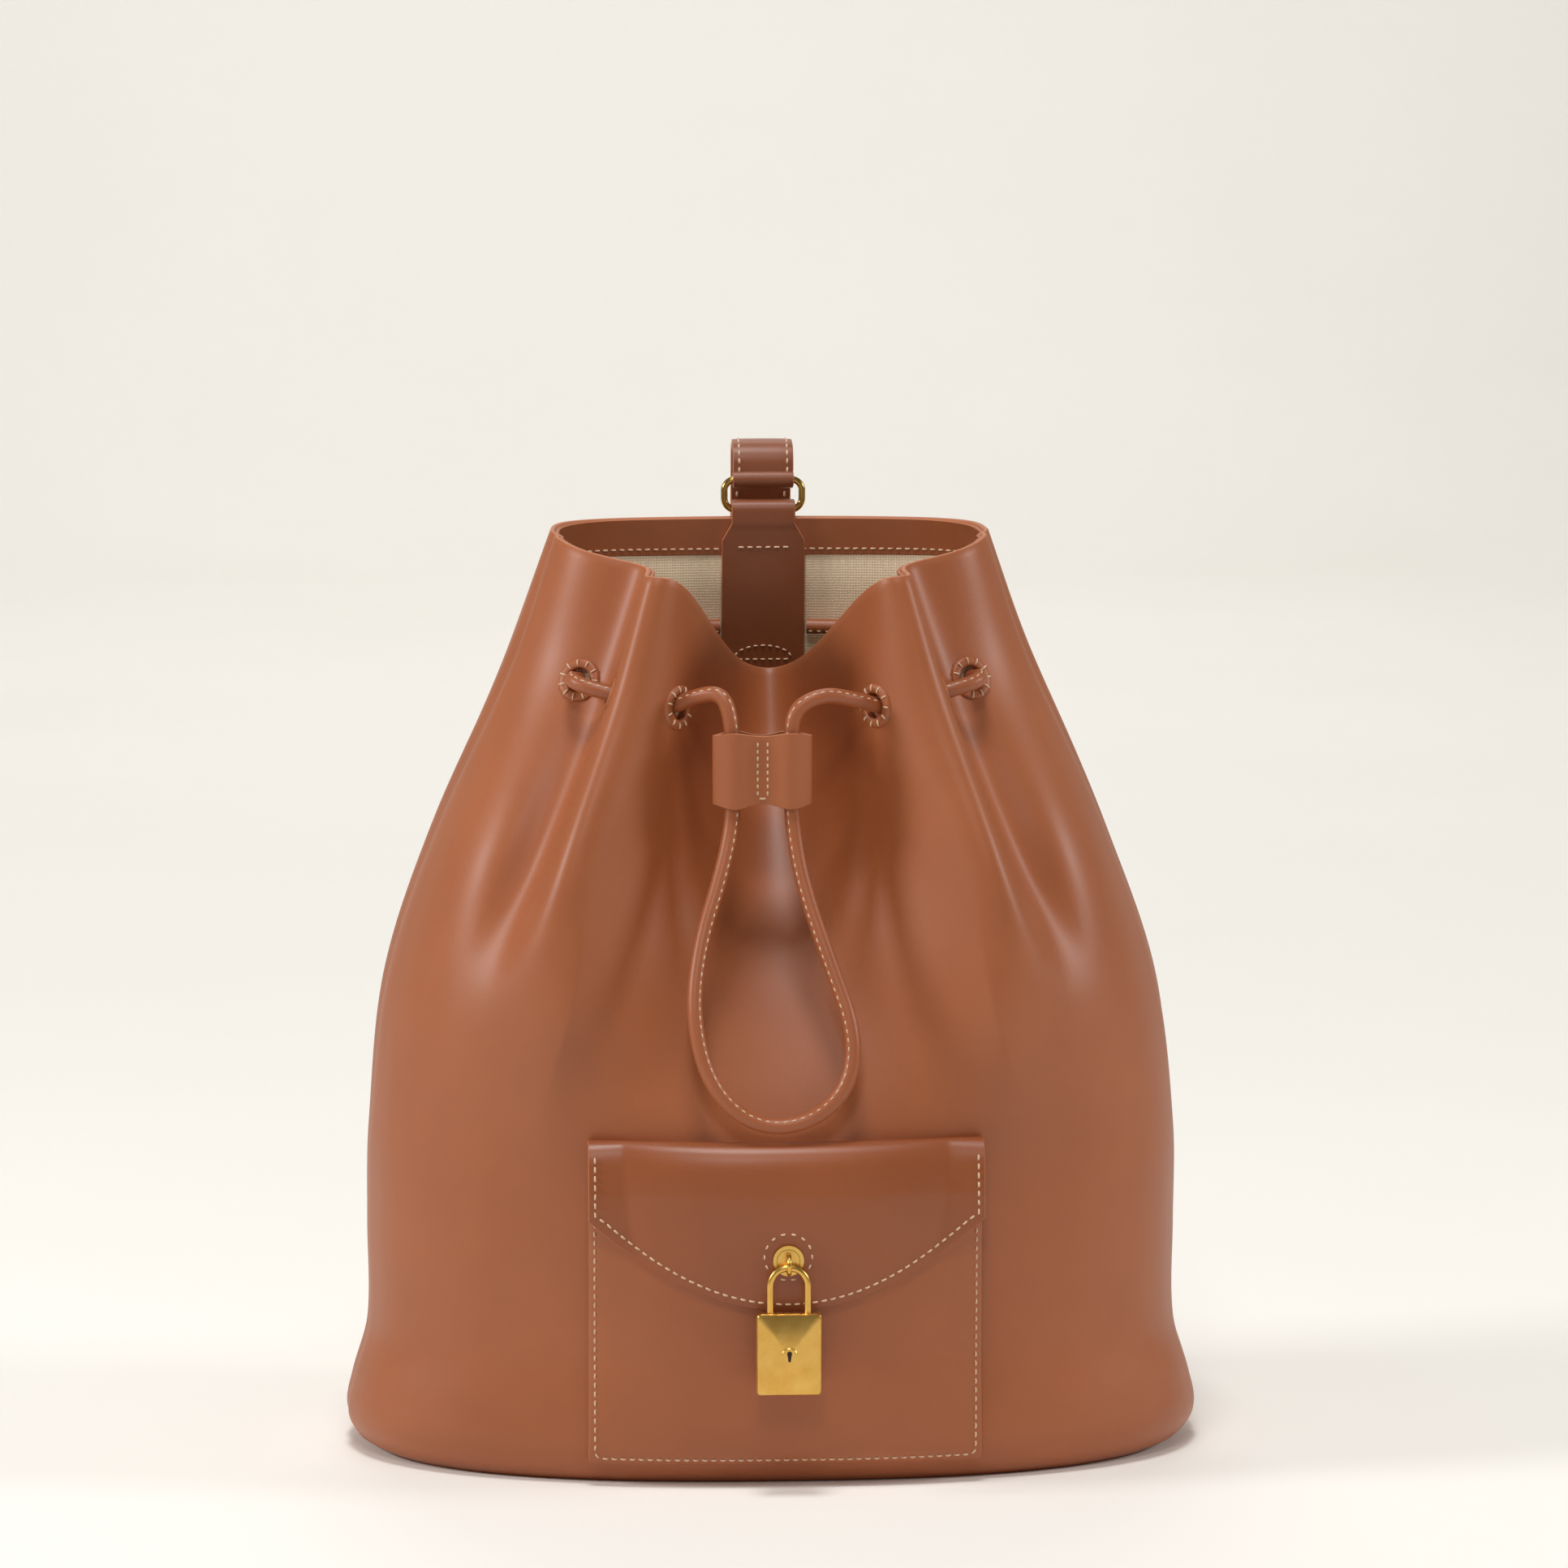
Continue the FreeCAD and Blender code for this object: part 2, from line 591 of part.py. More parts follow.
def cord_parts():
    points = [Vector(*point) for point in CORD_RIGHT + CORD_LOOP + CORD_LEFT]
    cord = tube(points, CORD_DIAMETER)
    centre = (SLIDER_X, SLIDER_Y, (SLIDER_LOW + SLIDER_HIGH) / 2)
    body = centred_box(centre, (SLIDER_WIDTH, SLIDER_DEPTH, SLIDER_HIGH - SLIDER_LOW))
    uprights = [edge for edge in body.Edges if abs(edge.tangentAt(edge.FirstParameter).z) > 0.9]
    body = body.makeFillet(4.6, uprights)
    up = Vector(0, 0, 1)
    channels = [Part.makeCylinder(CHANNEL_RADIUS, 40, Vector(x, SLIDER_Y - 0.05, SLIDER_LOW - 5), up)
                for x in CHANNELS]
    return {"drawcord": cord, "cord_slider": body.cut(Part.makeCompound(channels))}


# ---------------------------------------------------------------- rings, tabs and strap

def wire_frame(width, height, wire, corner):
    """A round wire bent to a rounded rectangle, in the XZ plane with its centre at the origin."""
    x, z = width / 2 - wire, height / 2 - wire
    edges = []
    for side, up in ((1, 1), (-1, 1), (-1, -1), (1, -1)):
        centre = Vector(side * (x - corner), 0, up * (z - corner))
        across = Vector(side * corner, 0, 0)
        rise = Vector(0, 0, up * corner)
        through = centre + (across + rise) * math.sqrt(0.5)
        ends = (centre + across, centre + rise) if side == up else (centre + rise, centre + across)
        edges.append(Part.Arc(ends[0], through, ends[1]).toShape())
    for first, second in zip(edges[:], edges[1:] + edges[:1]):
        start, end = first.Vertexes[-1].Point, second.Vertexes[0].Point
        edges.append(Part.LineSegment(start, end).toShape())
    path = Part.Wire(Part.__sortEdges__(edges))
    start = path.OrderedEdges[0].valueAt(path.OrderedEdges[0].FirstParameter)
    tangent = path.OrderedEdges[0].tangentAt(path.OrderedEdges[0].FirstParameter)
    return path.makePipeShell([Part.Wire([Part.makeCircle(wire, start, tangent)])], True, True)


def cross_sleeve(centre, inner, outer, width, x=0.0):
    """Leather wrapped round a bar that runs along X, as a plain sleeve."""
    low = Vector(x - width / 2, centre[0], centre[1])
    solid = Part.makeCylinder(outer, width, low, Vector(1, 0, 0))
    return solid.cut(Part.makeCylinder(inner, width, low, Vector(1, 0, 0)))


def profile_solid(points, width, x=0.0):
    """A YZ outline extruded along X."""
    places = [Vector(x - width / 2, y, z) for y, z in points]
    return Part.Face(Part.makePolygon(places + places[:1])).extrude(Vector(width, 0, 0))


def strap_place(along, out):
    return BUCKLE_TOP + ALONG * along + OUT * out


def pair(point):
    return (point.y, point.z)


def hinge_parts():
    """The tab over the back of the rim with its ring, and the same pair low on the back."""
    bar_y, top = RING_BAR[0], RING_BAR[1] - 0.1
    shift = (320 - TAB_FOOT) * TAB_LEAN
    far_shift = (320 - TAB_HEEL) * TAB_LEAN + 0.4
    arch = cross_sleeve((bar_y, top), 2.05, 3.85, LOOP_WIDTH)
    arch = arch.common(box((-20, 40, top), (20, 60, 340)))
    inner, outer = TAB_INNER_Y, TAB_OUTER_Y
    patch = profile_solid([(inner, 316), (inner + LEATHER, 316), (inner + shift + LEATHER, TAB_FOOT),
                           (inner + shift, TAB_FOOT)], TAB_WIDTH)
    neck = box((-LOOP_WIDTH / 2, inner, 315.9), (LOOP_WIDTH / 2, inner + LEATHER, top))
    rear = profile_solid([(outer - LEATHER, top), (outer, top), (outer, 320), (outer + far_shift, TAB_HEEL),
                          (outer - LEATHER + far_shift, TAB_HEEL), (outer - LEATHER, 320)], LOOP_WIDTH)
    tab = arch.fuse([patch, neck, rear])
    top_ring = wire_frame(RING_WIDTH, RING_HEIGHT, RING_WIRE, 4.0)
    top_ring.translate(Vector(0, RING_BAR[0], (RING_BAR[1] + UPPER_BAR[1]) / 2))

    sleeve = cross_sleeve(LOWER_BAR, 1.6, 3.2, 18.0)
    pad = box((-13, 83.7, 12), (13, 85.5, 38))
    lower_tab = sleeve.fuse(pad)
    lower_ring = wire_frame(LOWER_RING_WIDTH, LOWER_RING_HEIGHT, RING_WIRE, 4.0)
    lower_ring.rotate(Vector(0, 0, 0), Vector(1, 0, 0), 90)
    reach = LOWER_RING_HEIGHT - 2 * RING_WIRE
    lower_ring.translate(Vector(0, LOWER_BAR[0] + reach / 2, LOWER_BAR[1]))
    return {"ring_tab": tab, "top_ring": top_ring, "lower_ring_tab": lower_tab, "lower_ring": lower_ring}


def strap_parts():
    upper_end = strap_place(72, 0)
    upper_path = STRAP_TOP + [pair(upper_end)]
    upper = band(upper_path, [7.0, 6.0, 60.0], STRAP_WIDTH, STRAP_THICKNESS)
    upper = upper.fuse(cross_sleeve(UPPER_BAR, 1.5, 3.3, STRAP_WIDTH))
    slot_centre = strap_place(10.5, 0)
    slot = centred_box((0, 0, 0), (3.0, 8.0, 14.0))
    slot.rotate(Vector(0, 0, 0), Vector(1, 0, 0), math.degrees(math.atan2(ALONG.y, -ALONG.z)))
    slot.translate(slot_centre)
    holes = [Part.makeCylinder(1.6, 10, strap_place(along, -5), OUT) for along in HOLES]
    upper = upper.cut(Part.makeCompound([slot] + holes))

    start = strap_place(BUCKLE_LENGTH + 2.0, -3.5)
    parallel = strap_place(84, -3.5)
    floor = STRAP_THICKNESS / 2 + 0.12
    ring_end = LOWER_BAR[0] + LOWER_RING_HEIGHT - 2 * RING_WIRE
    lower_path = [pair(start), pair(parallel), (120.0, 76.0), (158.0, 34.0), (160.0, floor), (128.0, floor),
                  (ring_end + 1.4, 23.8)]
    lower = band(lower_path, [60.0, 60.0, 20.0, 14.0, 14.0], STRAP_WIDTH, STRAP_THICKNESS)
    heel = strap_place(BUCKLE_LENGTH, HEEL_DEPTH)
    heel_sleeve = cross_sleeve(pair(heel), 1.5, 3.2, STRAP_WIDTH)
    ring_sleeve = cross_sleeve((ring_end, LOWER_BAR[1]), 1.5, 3.3, STRAP_WIDTH)
    prong_gap = centred_box(heel, (4.6, 12.0, 9.0))
    lower = lower.fuse([heel_sleeve, ring_sleeve]).cut(prong_gap)

    top = strap_place(0, TOP_BAR_RISE)
    rise = heel - top
    buckle = wire_frame(BUCKLE_WIDTH, rise.Length + 2 * RING_WIRE, RING_WIRE, 3.0)
    buckle.rotate(Vector(0, 0, 0), Vector(1, 0, 0), math.degrees(math.atan2(rise.y, -rise.z)))
    buckle.translate((heel + top) / 2)

    prong_end = strap_place(-2.0, TOP_BAR_RISE + RING_WIRE + 2.3)
    reach = prong_end - heel
    shank = Part.makeCylinder(0.95, reach.Length - 1.8, heel + reach.normalize() * 1.8, reach)
    prong = shank.fuse(cross_sleeve(pair(heel), RING_WIRE + RUNNING, 2.3, 3.4))

    keeper_inner = centred_box((0, 0, 0), (22.2, 7.6, 20.0))
    keeper = centred_box((0, 0, 0), (25.2, 10.6, 8.0)).cut(keeper_inner)
    keeper.rotate(Vector(0, 0, 0), Vector(1, 0, 0), math.degrees(math.atan2(ALONG.y, -ALONG.z)))
    keeper.translate(strap_place(42, -1.75))
    return {"shoulder_strap": upper, "lower_strap": lower, "strap_buckle": buckle,
            "buckle_prong": prong, "strap_keeper": keeper}


os.makedirs("parts", exist_ok=True)
nodes = body_parts()
nodes["eyelet_washers"] = eyelet_washers(nodes["front_panel"])
for group in (pocket_parts, lock_parts, cord_parts, hinge_parts, strap_parts):
    nodes.update(group())
for name, shape in nodes.items():
    print(name, shape.isValid(), len(shape.Solids), round(shape.Volume, 1), shape.BoundBox)
    shape.exportStep("parts/" + name + ".step")
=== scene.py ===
"""Looks of the leather drawstring bucket bag.

Lengths are in millimetres until a mesh is made, then metres. The camera, lamps and stage are in metres.
"""

import bpy
import bmesh
import math
import numpy as np
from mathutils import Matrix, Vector
from mathutils.bvhtree import BVHTree


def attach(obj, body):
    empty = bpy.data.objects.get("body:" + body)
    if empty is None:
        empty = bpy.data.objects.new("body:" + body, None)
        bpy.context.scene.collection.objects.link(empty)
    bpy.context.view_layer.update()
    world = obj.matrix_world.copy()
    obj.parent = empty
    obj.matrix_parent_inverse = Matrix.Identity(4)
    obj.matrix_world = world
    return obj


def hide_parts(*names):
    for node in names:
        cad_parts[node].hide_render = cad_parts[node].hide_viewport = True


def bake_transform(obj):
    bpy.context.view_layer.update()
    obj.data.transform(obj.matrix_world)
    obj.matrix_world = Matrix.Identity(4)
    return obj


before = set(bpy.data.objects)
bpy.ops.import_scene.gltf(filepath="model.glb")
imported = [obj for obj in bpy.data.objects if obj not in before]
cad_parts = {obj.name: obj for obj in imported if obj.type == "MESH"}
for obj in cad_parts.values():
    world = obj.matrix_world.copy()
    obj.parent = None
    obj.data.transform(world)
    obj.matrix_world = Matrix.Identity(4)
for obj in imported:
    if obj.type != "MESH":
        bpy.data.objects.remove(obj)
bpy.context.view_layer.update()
MM = 0.001
TINY = 1e-9             # keeps a division by a length safe
rng = np.random.default_rng(7)

# ---------------- camera

AIM = Vector((0.0048, 0.0, 0.2308))
DISTANCE = 2.4
AZIMUTH, PITCH = math.radians(-3.0), math.radians(7.2)
FIELD = 0.548
SENSOR = 36.0


def added(name, data):
    """A new object in the scene."""
    thing = bpy.data.objects.new(name, data)
    bpy.context.scene.collection.objects.link(thing)
    return thing


def look_along(thing, direction):
    thing.rotation_mode = "QUATERNION"
    thing.rotation_quaternion = direction.to_track_quat("-Z", "Y")


def make_camera():
    level = math.cos(PITCH)
    back = Vector((math.sin(AZIMUTH) * level, -math.cos(AZIMUTH) * level, math.sin(PITCH)))
    data = bpy.data.cameras.new("camera")
    data.sensor_width = SENSOR
    data.lens = SENSOR * DISTANCE / FIELD
    data.clip_start, data.clip_end = 0.1, 50
    camera = added("camera", data)
    camera.location = AIM + back * DISTANCE
    look_along(camera, -back)
    bpy.context.scene.camera = camera


make_camera()

# ---------------- the drawcord, first

CORD_RIGHT = [
    (15.5, 50.5, 281), (45, 48, 280.5), (74, 31, 279.5), (83, 5, 278), (78, -14, 275), (65.7, -27, 270.6),
    (71, -42, 273), (66.5, -48.5, 271), (50.5, -51, 267), (39, -49, 262.5), (26, -58, 267),
    (15, -62.5, 269.5), (4.3, -64.9, 264.5), (3.9, -65, 250), (4, -65.2, 226),
]
CORD_LOOP = [
    (7.5, -72, 205), (16, -82, 180), (24, -91, 158), (22.5, -94.5, 141), (12.5, -95, 129.5),
    (-2, -95.2, 125.2),
    (-15.5, -94.8, 129.5), (-26.5, -94, 143), (-31, -90, 165), (-27.5, -80.5, 188), (-20.5, -72, 208),
]
CORD_LEFT = [
    (-16, -65.2, 226), (-15.9, -65, 245), (-16.4, -64.8, 261), (-19.5, -62.3, 270), (-28, -57, 268.6),
    (-39, -49, 262.5), (-50.5, -51, 267), (-66.5, -48.5, 271), (-71, -42, 273), (-65.7, -27, 270.6),
    (-78, -14, 275), (-83, 5, 278), (-74, 31, 279.5), (-45, 48, 280.5), (-15.5, 50.5, 281),
]
CORD_DIAMETER = 5.4
POINT_RADIUS = 0.001    # Blender adds each point's radius, as metres, to a curve's bounding box
cord_points = CORD_RIGHT + CORD_LOOP + CORD_LEFT


def make_cord():
    curve = bpy.data.curves.new("drawcord", "CURVE")
    curve.dimensions = "3D"
    curve.bevel_depth = CORD_DIAMETER / 2 * MM / POINT_RADIUS
    curve.bevel_resolution = 6
    curve.use_fill_caps = True
    spline = curve.splines.new("NURBS")
    spline.points.add(len(cord_points) - 1)
    for point, place in zip(spline.points, cord_points):
        point.co = (place[0] * MM, place[1] * MM, place[2] * MM, 1)
        point.radius = POINT_RADIUS
    spline.order_u = 3
    spline.use_endpoint_u = True
    spline.resolution_u = 8
    cord = added("drawcord_leather", curve)
    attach(cord, "bag")
    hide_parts("drawcord")
    return cord


cord = make_cord()

# ---------------- materials


def linear(red, green, blue):
    """sRGB from 0 to 255 as a linear colour."""
    channels = []
    for value in (red, green, blue):
        value /= 255
        channels.append(value / 12.92 if value <= 0.04045 else ((value + 0.055) / 1.055) ** 2.4)
    return (*channels, 1.0)


def add_node(tree, kind, values, links):
    """A new shader node with values and links for its inputs."""
    node = tree.nodes.new("ShaderNode" + kind)
    for socket, value in values.items():
        node.inputs[socket].default_value = value
    for socket, source in links.items():
        tree.links.new(source, node.inputs[socket])
    return node


def material(name, dark, light, roughness, mottle=14.0, metallic=0.0, coat=0.0, specular=0.5):
    """A material that wanders between two sRGB shades. Also its tree, shader and object coordinates."""
    made = bpy.data.materials.new(name)
    made.use_nodes = True
    tree = made.node_tree
    shader = tree.nodes["Principled BSDF"]
    shader.inputs["Metallic"].default_value = metallic
    shader.inputs["Coat Weight"].default_value = coat
    shader.inputs["Coat Roughness"].default_value = 0.35
    shader.inputs["Specular IOR Level"].default_value = specular
    place = tree.nodes.new("ShaderNodeTexCoord").outputs["Object"]
    cloud = add_node(tree, "TexNoise", {"Scale": mottle, "Detail": 4.0, "Roughness": 0.6}, {"Vector": place})
    ramp = add_node(tree, "ValToRGB", {}, {"Fac": cloud.outputs["Fac"]})
    for element, position, shade in zip(ramp.color_ramp.elements, (0.25, 0.75), (dark, light)):
        element.position = position
        element.color = linear(*shade)
    tree.links.new(ramp.outputs["Color"], shader.inputs["Base Color"])
    sheen = add_node(tree, "MapRange", {"To Min": roughness[0], "To Max": roughness[1]},
                     {"Value": cloud.outputs["Fac"]})
    tree.links.new(sheen.outputs["Result"], shader.inputs["Roughness"])
    return made, tree, shader, place


def bumped(tree, shader, height, distance, strength, before=None):
    """A bump on the shader, on top of the bump before it."""
    links = {"Height": height}
    if before:
        links["Normal"] = before.outputs["Normal"]
    bump = add_node(tree, "Bump", {"Distance": distance, "Strength": strength}, links)
    tree.links.new(bump.outputs["Normal"], shader.inputs["Normal"])
    return bump


def leather(name, dark, light, roughness=(0.40, 0.52), grain=0.16):
    made, tree, shader, place = material(name, dark, light, roughness, coat=0.04)
    wave = add_node(tree, "TexNoise", {"Scale": 42.0, "Detail": 3.0}, {"Vector": place})
    cells = add_node(tree, "TexVoronoi", {"Scale": 1500.0}, {"Vector": place})
    soft = bumped(tree, shader, wave.outputs["Fac"], 0.0012, 0.10)
    bumped(tree, shader, cells.outputs["Distance"], 0.00012, grain, soft)
    return made


def canvas(name, dark, light):
    made, tree, shader, place = material(name, dark, light, (0.85, 0.95), mottle=30.0, specular=0.2)
    weave = []
    for axis in ("X", "Z"):
        wave = add_node(tree, "TexWave", {"Scale": 330.0, "Distortion": 1.2}, {"Vector": place})
        wave.bands_direction = axis
        weave.append(wave.outputs["Fac"])
    both = add_node(tree, "Math", {}, {0: weave[0], 1: weave[1]})
    both.operation = "MAXIMUM"
    bumped(tree, shader, both.outputs["Value"], 0.0003, 0.5)
    return made


def metal(name, dark, light, roughness):
    made, tree, shader, place = material(name, dark, light, roughness, mottle=160.0, metallic=1.0)
    scratch = add_node(tree, "TexNoise", {"Scale": 900.0}, {"Vector": place})
    bumped(tree, shader, scratch.outputs["Fac"], 0.00005, 0.12)
    return made


SKIN = leather("tan_leather", (153, 84, 46), (166, 93, 52))
# Cut edges: their own lighter tan, made lighter still as a painted highlight along the rim.
EDGE_AND_HIGHLIGHT = leather("cut_edge_and_highlight", (172, 102, 64), (188, 116, 76), (0.5, 0.6), 0.1)
CORD = leather("cord_leather", (148, 80, 44), (162, 90, 52), (0.38, 0.48), 0.12)
cord.data.materials.append(CORD)
FLAP = leather("flap_leather", (140, 73, 37), (154, 83, 43), (0.34, 0.43), 0.12)
# Strap, tabs and keeper: a darker copy of the leather, as painted shade.
SHADED_STRAP = leather("strap_leather", (128, 68, 38), (142, 78, 45), (0.38, 0.50), 0.14)
# The bottom's leather is darker as painted shade for the dark underside and contact shadow.
SHADED_BASE = leather("base_leather_shaded", (118, 58, 36), (136, 70, 44), (0.5, 0.62), 0.2)
LINING = canvas("cream_canvas", (228, 204, 172), (240, 218, 188))
THREAD = material("cream_thread", (208, 174, 142), (226, 196, 166), (0.6, 0.75), mottle=400.0,
                  specular=0.3)[0]
GOLD = metal("polished_gold", (214, 164, 78), (230, 188, 104), (0.24, 0.34))
WIRE = metal("gold_wire", (176, 138, 72), (206, 168, 96), (0.18, 0.28))
STEEL = metal("plain_steel", (150, 148, 142), (172, 170, 166), (0.3, 0.42))
# Painted shade: near-black leather standing in for the dark insides of the keyhole and the buckle holes.
HOLE_SHADE = leather("painted_hole_shade", (40, 20, 13), (52, 26, 17), (0.8, 0.9), 0.05)

# ---------------- mesh and line helpers

BULGE = 0.35            # how far a cut edge of the body leather rounds out
STRAP_BULGE = 0.3


def add_mesh(name, points, faces, materials, indices=None, angle=50.0):
    """A mesh object from points in millimetres. indices says which material each face has."""
    data = bpy.data.meshes.new(name)
    data.from_pydata((np.asarray(points, float) * MM).tolist(), [], [list(face) for face in faces])
    for item in materials:
        data.materials.append(item)
    if indices is not None:
        data.polygons.foreach_set("material_index", indices)
    editable = bmesh.new()
    editable.from_mesh(data)
    bmesh.ops.recalc_face_normals(editable, faces=editable.faces)
    editable.to_mesh(data)
    editable.free()
    data.shade_smooth()
    data.set_sharp_from_angle(angle=math.radians(angle))
    return added(name, data)


def grid_faces(rows, columns, closed=False, start=0):
    """Four-sided faces of a grid of points, which closes on itself along its rows if closed."""
    faces = []
    for row in range(rows - 1):
        low, high = start + row * columns, start + (row + 1) * columns
        for column in range(columns if closed else columns - 1):
            after = (column + 1) % columns
            faces.append((low + column, low + after, high + after, high + column))
    return faces


def stacked(outlines, start=0):
    """The points and faces of closed outlines joined one to the next, with the last one capped."""
    count = len(outlines[0])
    last = start + (len(outlines) - 1) * count
    faces = grid_faces(len(outlines), count, True, start)
    faces.append(list(range(last, last + count)))
    return [point for outline in outlines for point in outline], faces


def length_of(vectors):
    return np.linalg.norm(vectors, axis=-1, keepdims=True)


def unit(vectors):
    """The vectors at length 1, apart from those of no length."""
    return vectors / np.maximum(length_of(vectors), TINY)


def evenly(line, count):
    """The line again, by a number of points at even distances."""
    travelled = lengths(line)
    return sampled(np.array(line), travelled, np.linspace(0, travelled[-1], count))


def normals_of(grid, closed=False):
    """Unit normals of a grid of points, by its rows and columns."""
    if closed:
        around = np.roll(grid, -1, axis=1) - np.roll(grid, 1, axis=1)
    else:
        around = np.gradient(grid, axis=1)
    return unit(np.cross(around, np.gradient(grid, axis=0)))


def slab(name, outer, inner, closed=False, face=SKIN, edge=EDGE_AND_HIGHLIGHT, bulge=BULGE):
    """A sheet of leather between two grids with rounded cut edges."""
    rows, columns = outer.shape[:2]
    count = rows * columns
    points = [*outer.reshape(-1, 3), *inner.reshape(-1, 3)]
    faces = grid_faces(rows, columns, closed) + grid_faces(rows, columns, closed, count)
    indices = [0] * len(faces)
    index = np.arange(count).reshape(rows, columns)
    if closed:
        loops = [list(zip(index[0], index[1])), list(zip(index[-1], index[-2]))]
    else:
        loops = [[*zip(index[0], index[1]), *zip(index[1:, -1], index[1:, -2]),
                  *zip(index[-1, -2::-1], index[-2, -2::-1]), *zip(index[-2:0:-1, 0], index[-2:0:-1, 1])]]
    flat_outer, flat_inner = outer.reshape(-1, 3), inner.reshape(-1, 3)
    for loop in loops:
        start = len(points)
        for here, neighbour in loop:
            away = unit(flat_outer[here] - flat_outer[neighbour])
            points.append((flat_outer[here] + flat_inner[here]) / 2 + away * bulge)
        total = len(loop)
        for step in range(total):
            after = (step + 1) % total
            one, two = loop[step][0], loop[after][0]
            faces.append((one, two, start + after, start + step))
            faces.append((start + step, start + after, two + count, one + count))
            indices += [1, 1]
    return add_mesh(name, points, faces, [face, edge], indices)


def round_points(count, radius=1.0, first=0.0):
    """Points of a circle, as pairs of coordinates."""
    for step in range(count):
        turn = 2 * math.pi * (step + first) / count
        yield radius * math.cos(turn), radius * math.sin(turn)


def arc(centre, radius, start, end, count):
    """Points of an arc between two angles in degrees, as pairs of coordinates."""
    return [(centre[0] + radius * math.cos(turn), centre[1] + radius * math.sin(turn))
            for turn in np.radians(np.linspace(start, end, count))]


def lengths(line):
    """The distance along a line at each of its points."""
    return np.concatenate([[0], np.cumsum(np.linalg.norm(np.diff(line, axis=0), axis=1))])


def sampled(values, travelled, where):
    """Values known at some distances along a line, read at others."""
    return np.stack([np.interp(where, travelled, column) for column in values.T], axis=1)


# ---------------- stitches

PITCH_OF_SEAM = 3.1
STITCH_LENGTH = 2.1
THREAD_RADIUS = 0.36
INSET = 2.0             # of a seam from the leather's edge
PROUD = 0.05            # of a seam above the leather
CAPSULE_SIDES = 6
# Each ring of a stitch: its place along the stitch, its share of the radius, and its rise in radii.
CAPSULE = [(-0.5, 0.25, -0.9), (-0.4, 0.85, -0.25), (-0.15, 1.0, 0.35), (0.15, 1.0, 0.35), (0.4, 0.85, -0.25),
           (0.5, 0.25, -0.9)]
threads = {}


def stitch(group, centre, along, normal, length=STITCH_LENGTH, radius=THREAD_RADIUS):
    """One stitch: a short bowed capsule of thread that dips into the leather at both ends."""
    threads.setdefault(group, []).append((centre, along, normal, length, radius))


def seam(group, points, normals, pitch=PITCH_OF_SEAM, length=STITCH_LENGTH, radius=THREAD_RADIUS):
    """A row of stitches along a line on a surface, each a little out of true."""
    points, normals = np.asarray(points, float), np.asarray(normals, float)
    travelled = lengths(points)
    count = max(int(round(travelled[-1] / pitch)), 1)
    where = (np.arange(count) + 0.5) * travelled[-1] / count
    ahead = sampled(points, travelled, where + 0.3) - sampled(points, travelled, where - 0.3)
    places = zip(sampled(points, travelled, where), ahead, sampled(normals, travelled, where))
    for place, along, normal in places:
        along = unit(along)
        normal = unit(normal - along * (normal @ along))
        slant = np.cross(normal, along) * rng.normal(0, 0.04)
        stitch(group, place, along + slant, normal, length * rng.uniform(0.94, 1.05), radius)


def make_threads():
    made = {}
    angles = np.linspace(0, 2 * math.pi, CAPSULE_SIDES, endpoint=False)
    for group, stitches in threads.items():
        points, faces = [], []
        for centre, along, normal, length, radius in stitches:
            side = np.cross(along, normal)
            start = len(points)
            for shift, share, rise in CAPSULE:
                middle = centre + along * (shift * length) + normal * (rise * radius)
                for angle in angles:
                    away = side * math.cos(angle) + normal * math.sin(angle)
                    points.append(middle + away * radius * share)
            faces += grid_faces(len(CAPSULE), CAPSULE_SIDES, True, start)
        made[group] = add_mesh("thread_" + group, points, faces, [THREAD], angle=80)
    return made


# ---------------- the bag's surface

LEATHER = 1.8
ROUNDNESS = 2.4         # the power of the level rings' superellipse
LEAN = -1.5             # how far the rings' centres are forward of the middle
ANGLES = [0, 7, 17, 27, 34, 40, 46, 57, 88, 118, 151, 180]
# Each level of the belly: its height, half its width and half its depth.
BODY = [
    (0, 138, 76), (4, 145, 81), (12, 149, 84.5), (24, 147, 84.5), (44, 141.5, 83.5), (78, 141, 85),
    (112, 140.5, 86.5),
]
# The half rings of the gathered levels.
GATHERED = [
    [(0, -78, 147), (24, -80, 148), (45, -83.5, 152), (62, -86.5, 159), (77, -85.5, 164), (90, -78, 166),
     (100, -69, 166.5), (113, -57, 166), (135, -3, 164), (122, 44, 163), (73, 69, 161), (0, 76, 160)],
    [(0, -43, 190), (18, -46.5, 192), (35.5, -56.5, 198), (51.5, -70, 206), (65.5, -80.5, 210),
     (76.5, -78.5, 211), (80.5, -60, 212), (94, -54.5, 213), (117.5, -3, 215), (107, 40, 215), (64, 61, 215),
     (0, 67, 215)],
    [(0, -6, 235), (12, -13, 238), (23.5, -32, 250), (34, -53, 262), (48, -63.5, 267), (56.5, -60, 269),
     (57.2, -43, 270), (69, -33, 272), (90, -4, 277), (86, 33, 278), (50, 53, 278), (0, 57, 278)],
    [(0, 12, 270), (9, 6, 273), (18, -15, 284), (28, -42, 300), (37, -56.5, 308), (45, -54, 309),
     (44.5, -37.5, 310), (57, -28.5, 313), (75.5, -3, 319), (71, 33, 320), (41, 49, 320), (0, 52, 320)],
]
SEAM = 8                # the point of a half ring where the side seam is
LEVELS = len(BODY) + len(GATHERED)
EASING_PASSES = 200
AROUND, UP = 14, 14     # samples between two points of a ring, and between two levels
# Each eyelet on the right: its centre, the way it faces and its outer radius.
EYELETS = [
    ((33.5, -52.6, 264.0), (-0.78, -0.57, 0.26), 7.4),
    ((57.6, -49.9, 268.9), (0.96, 0.15, 0.24), 5.6),
    ((67.9, -34.6, 271.7), (0.42, -0.89, 0.15), 7.4),
]


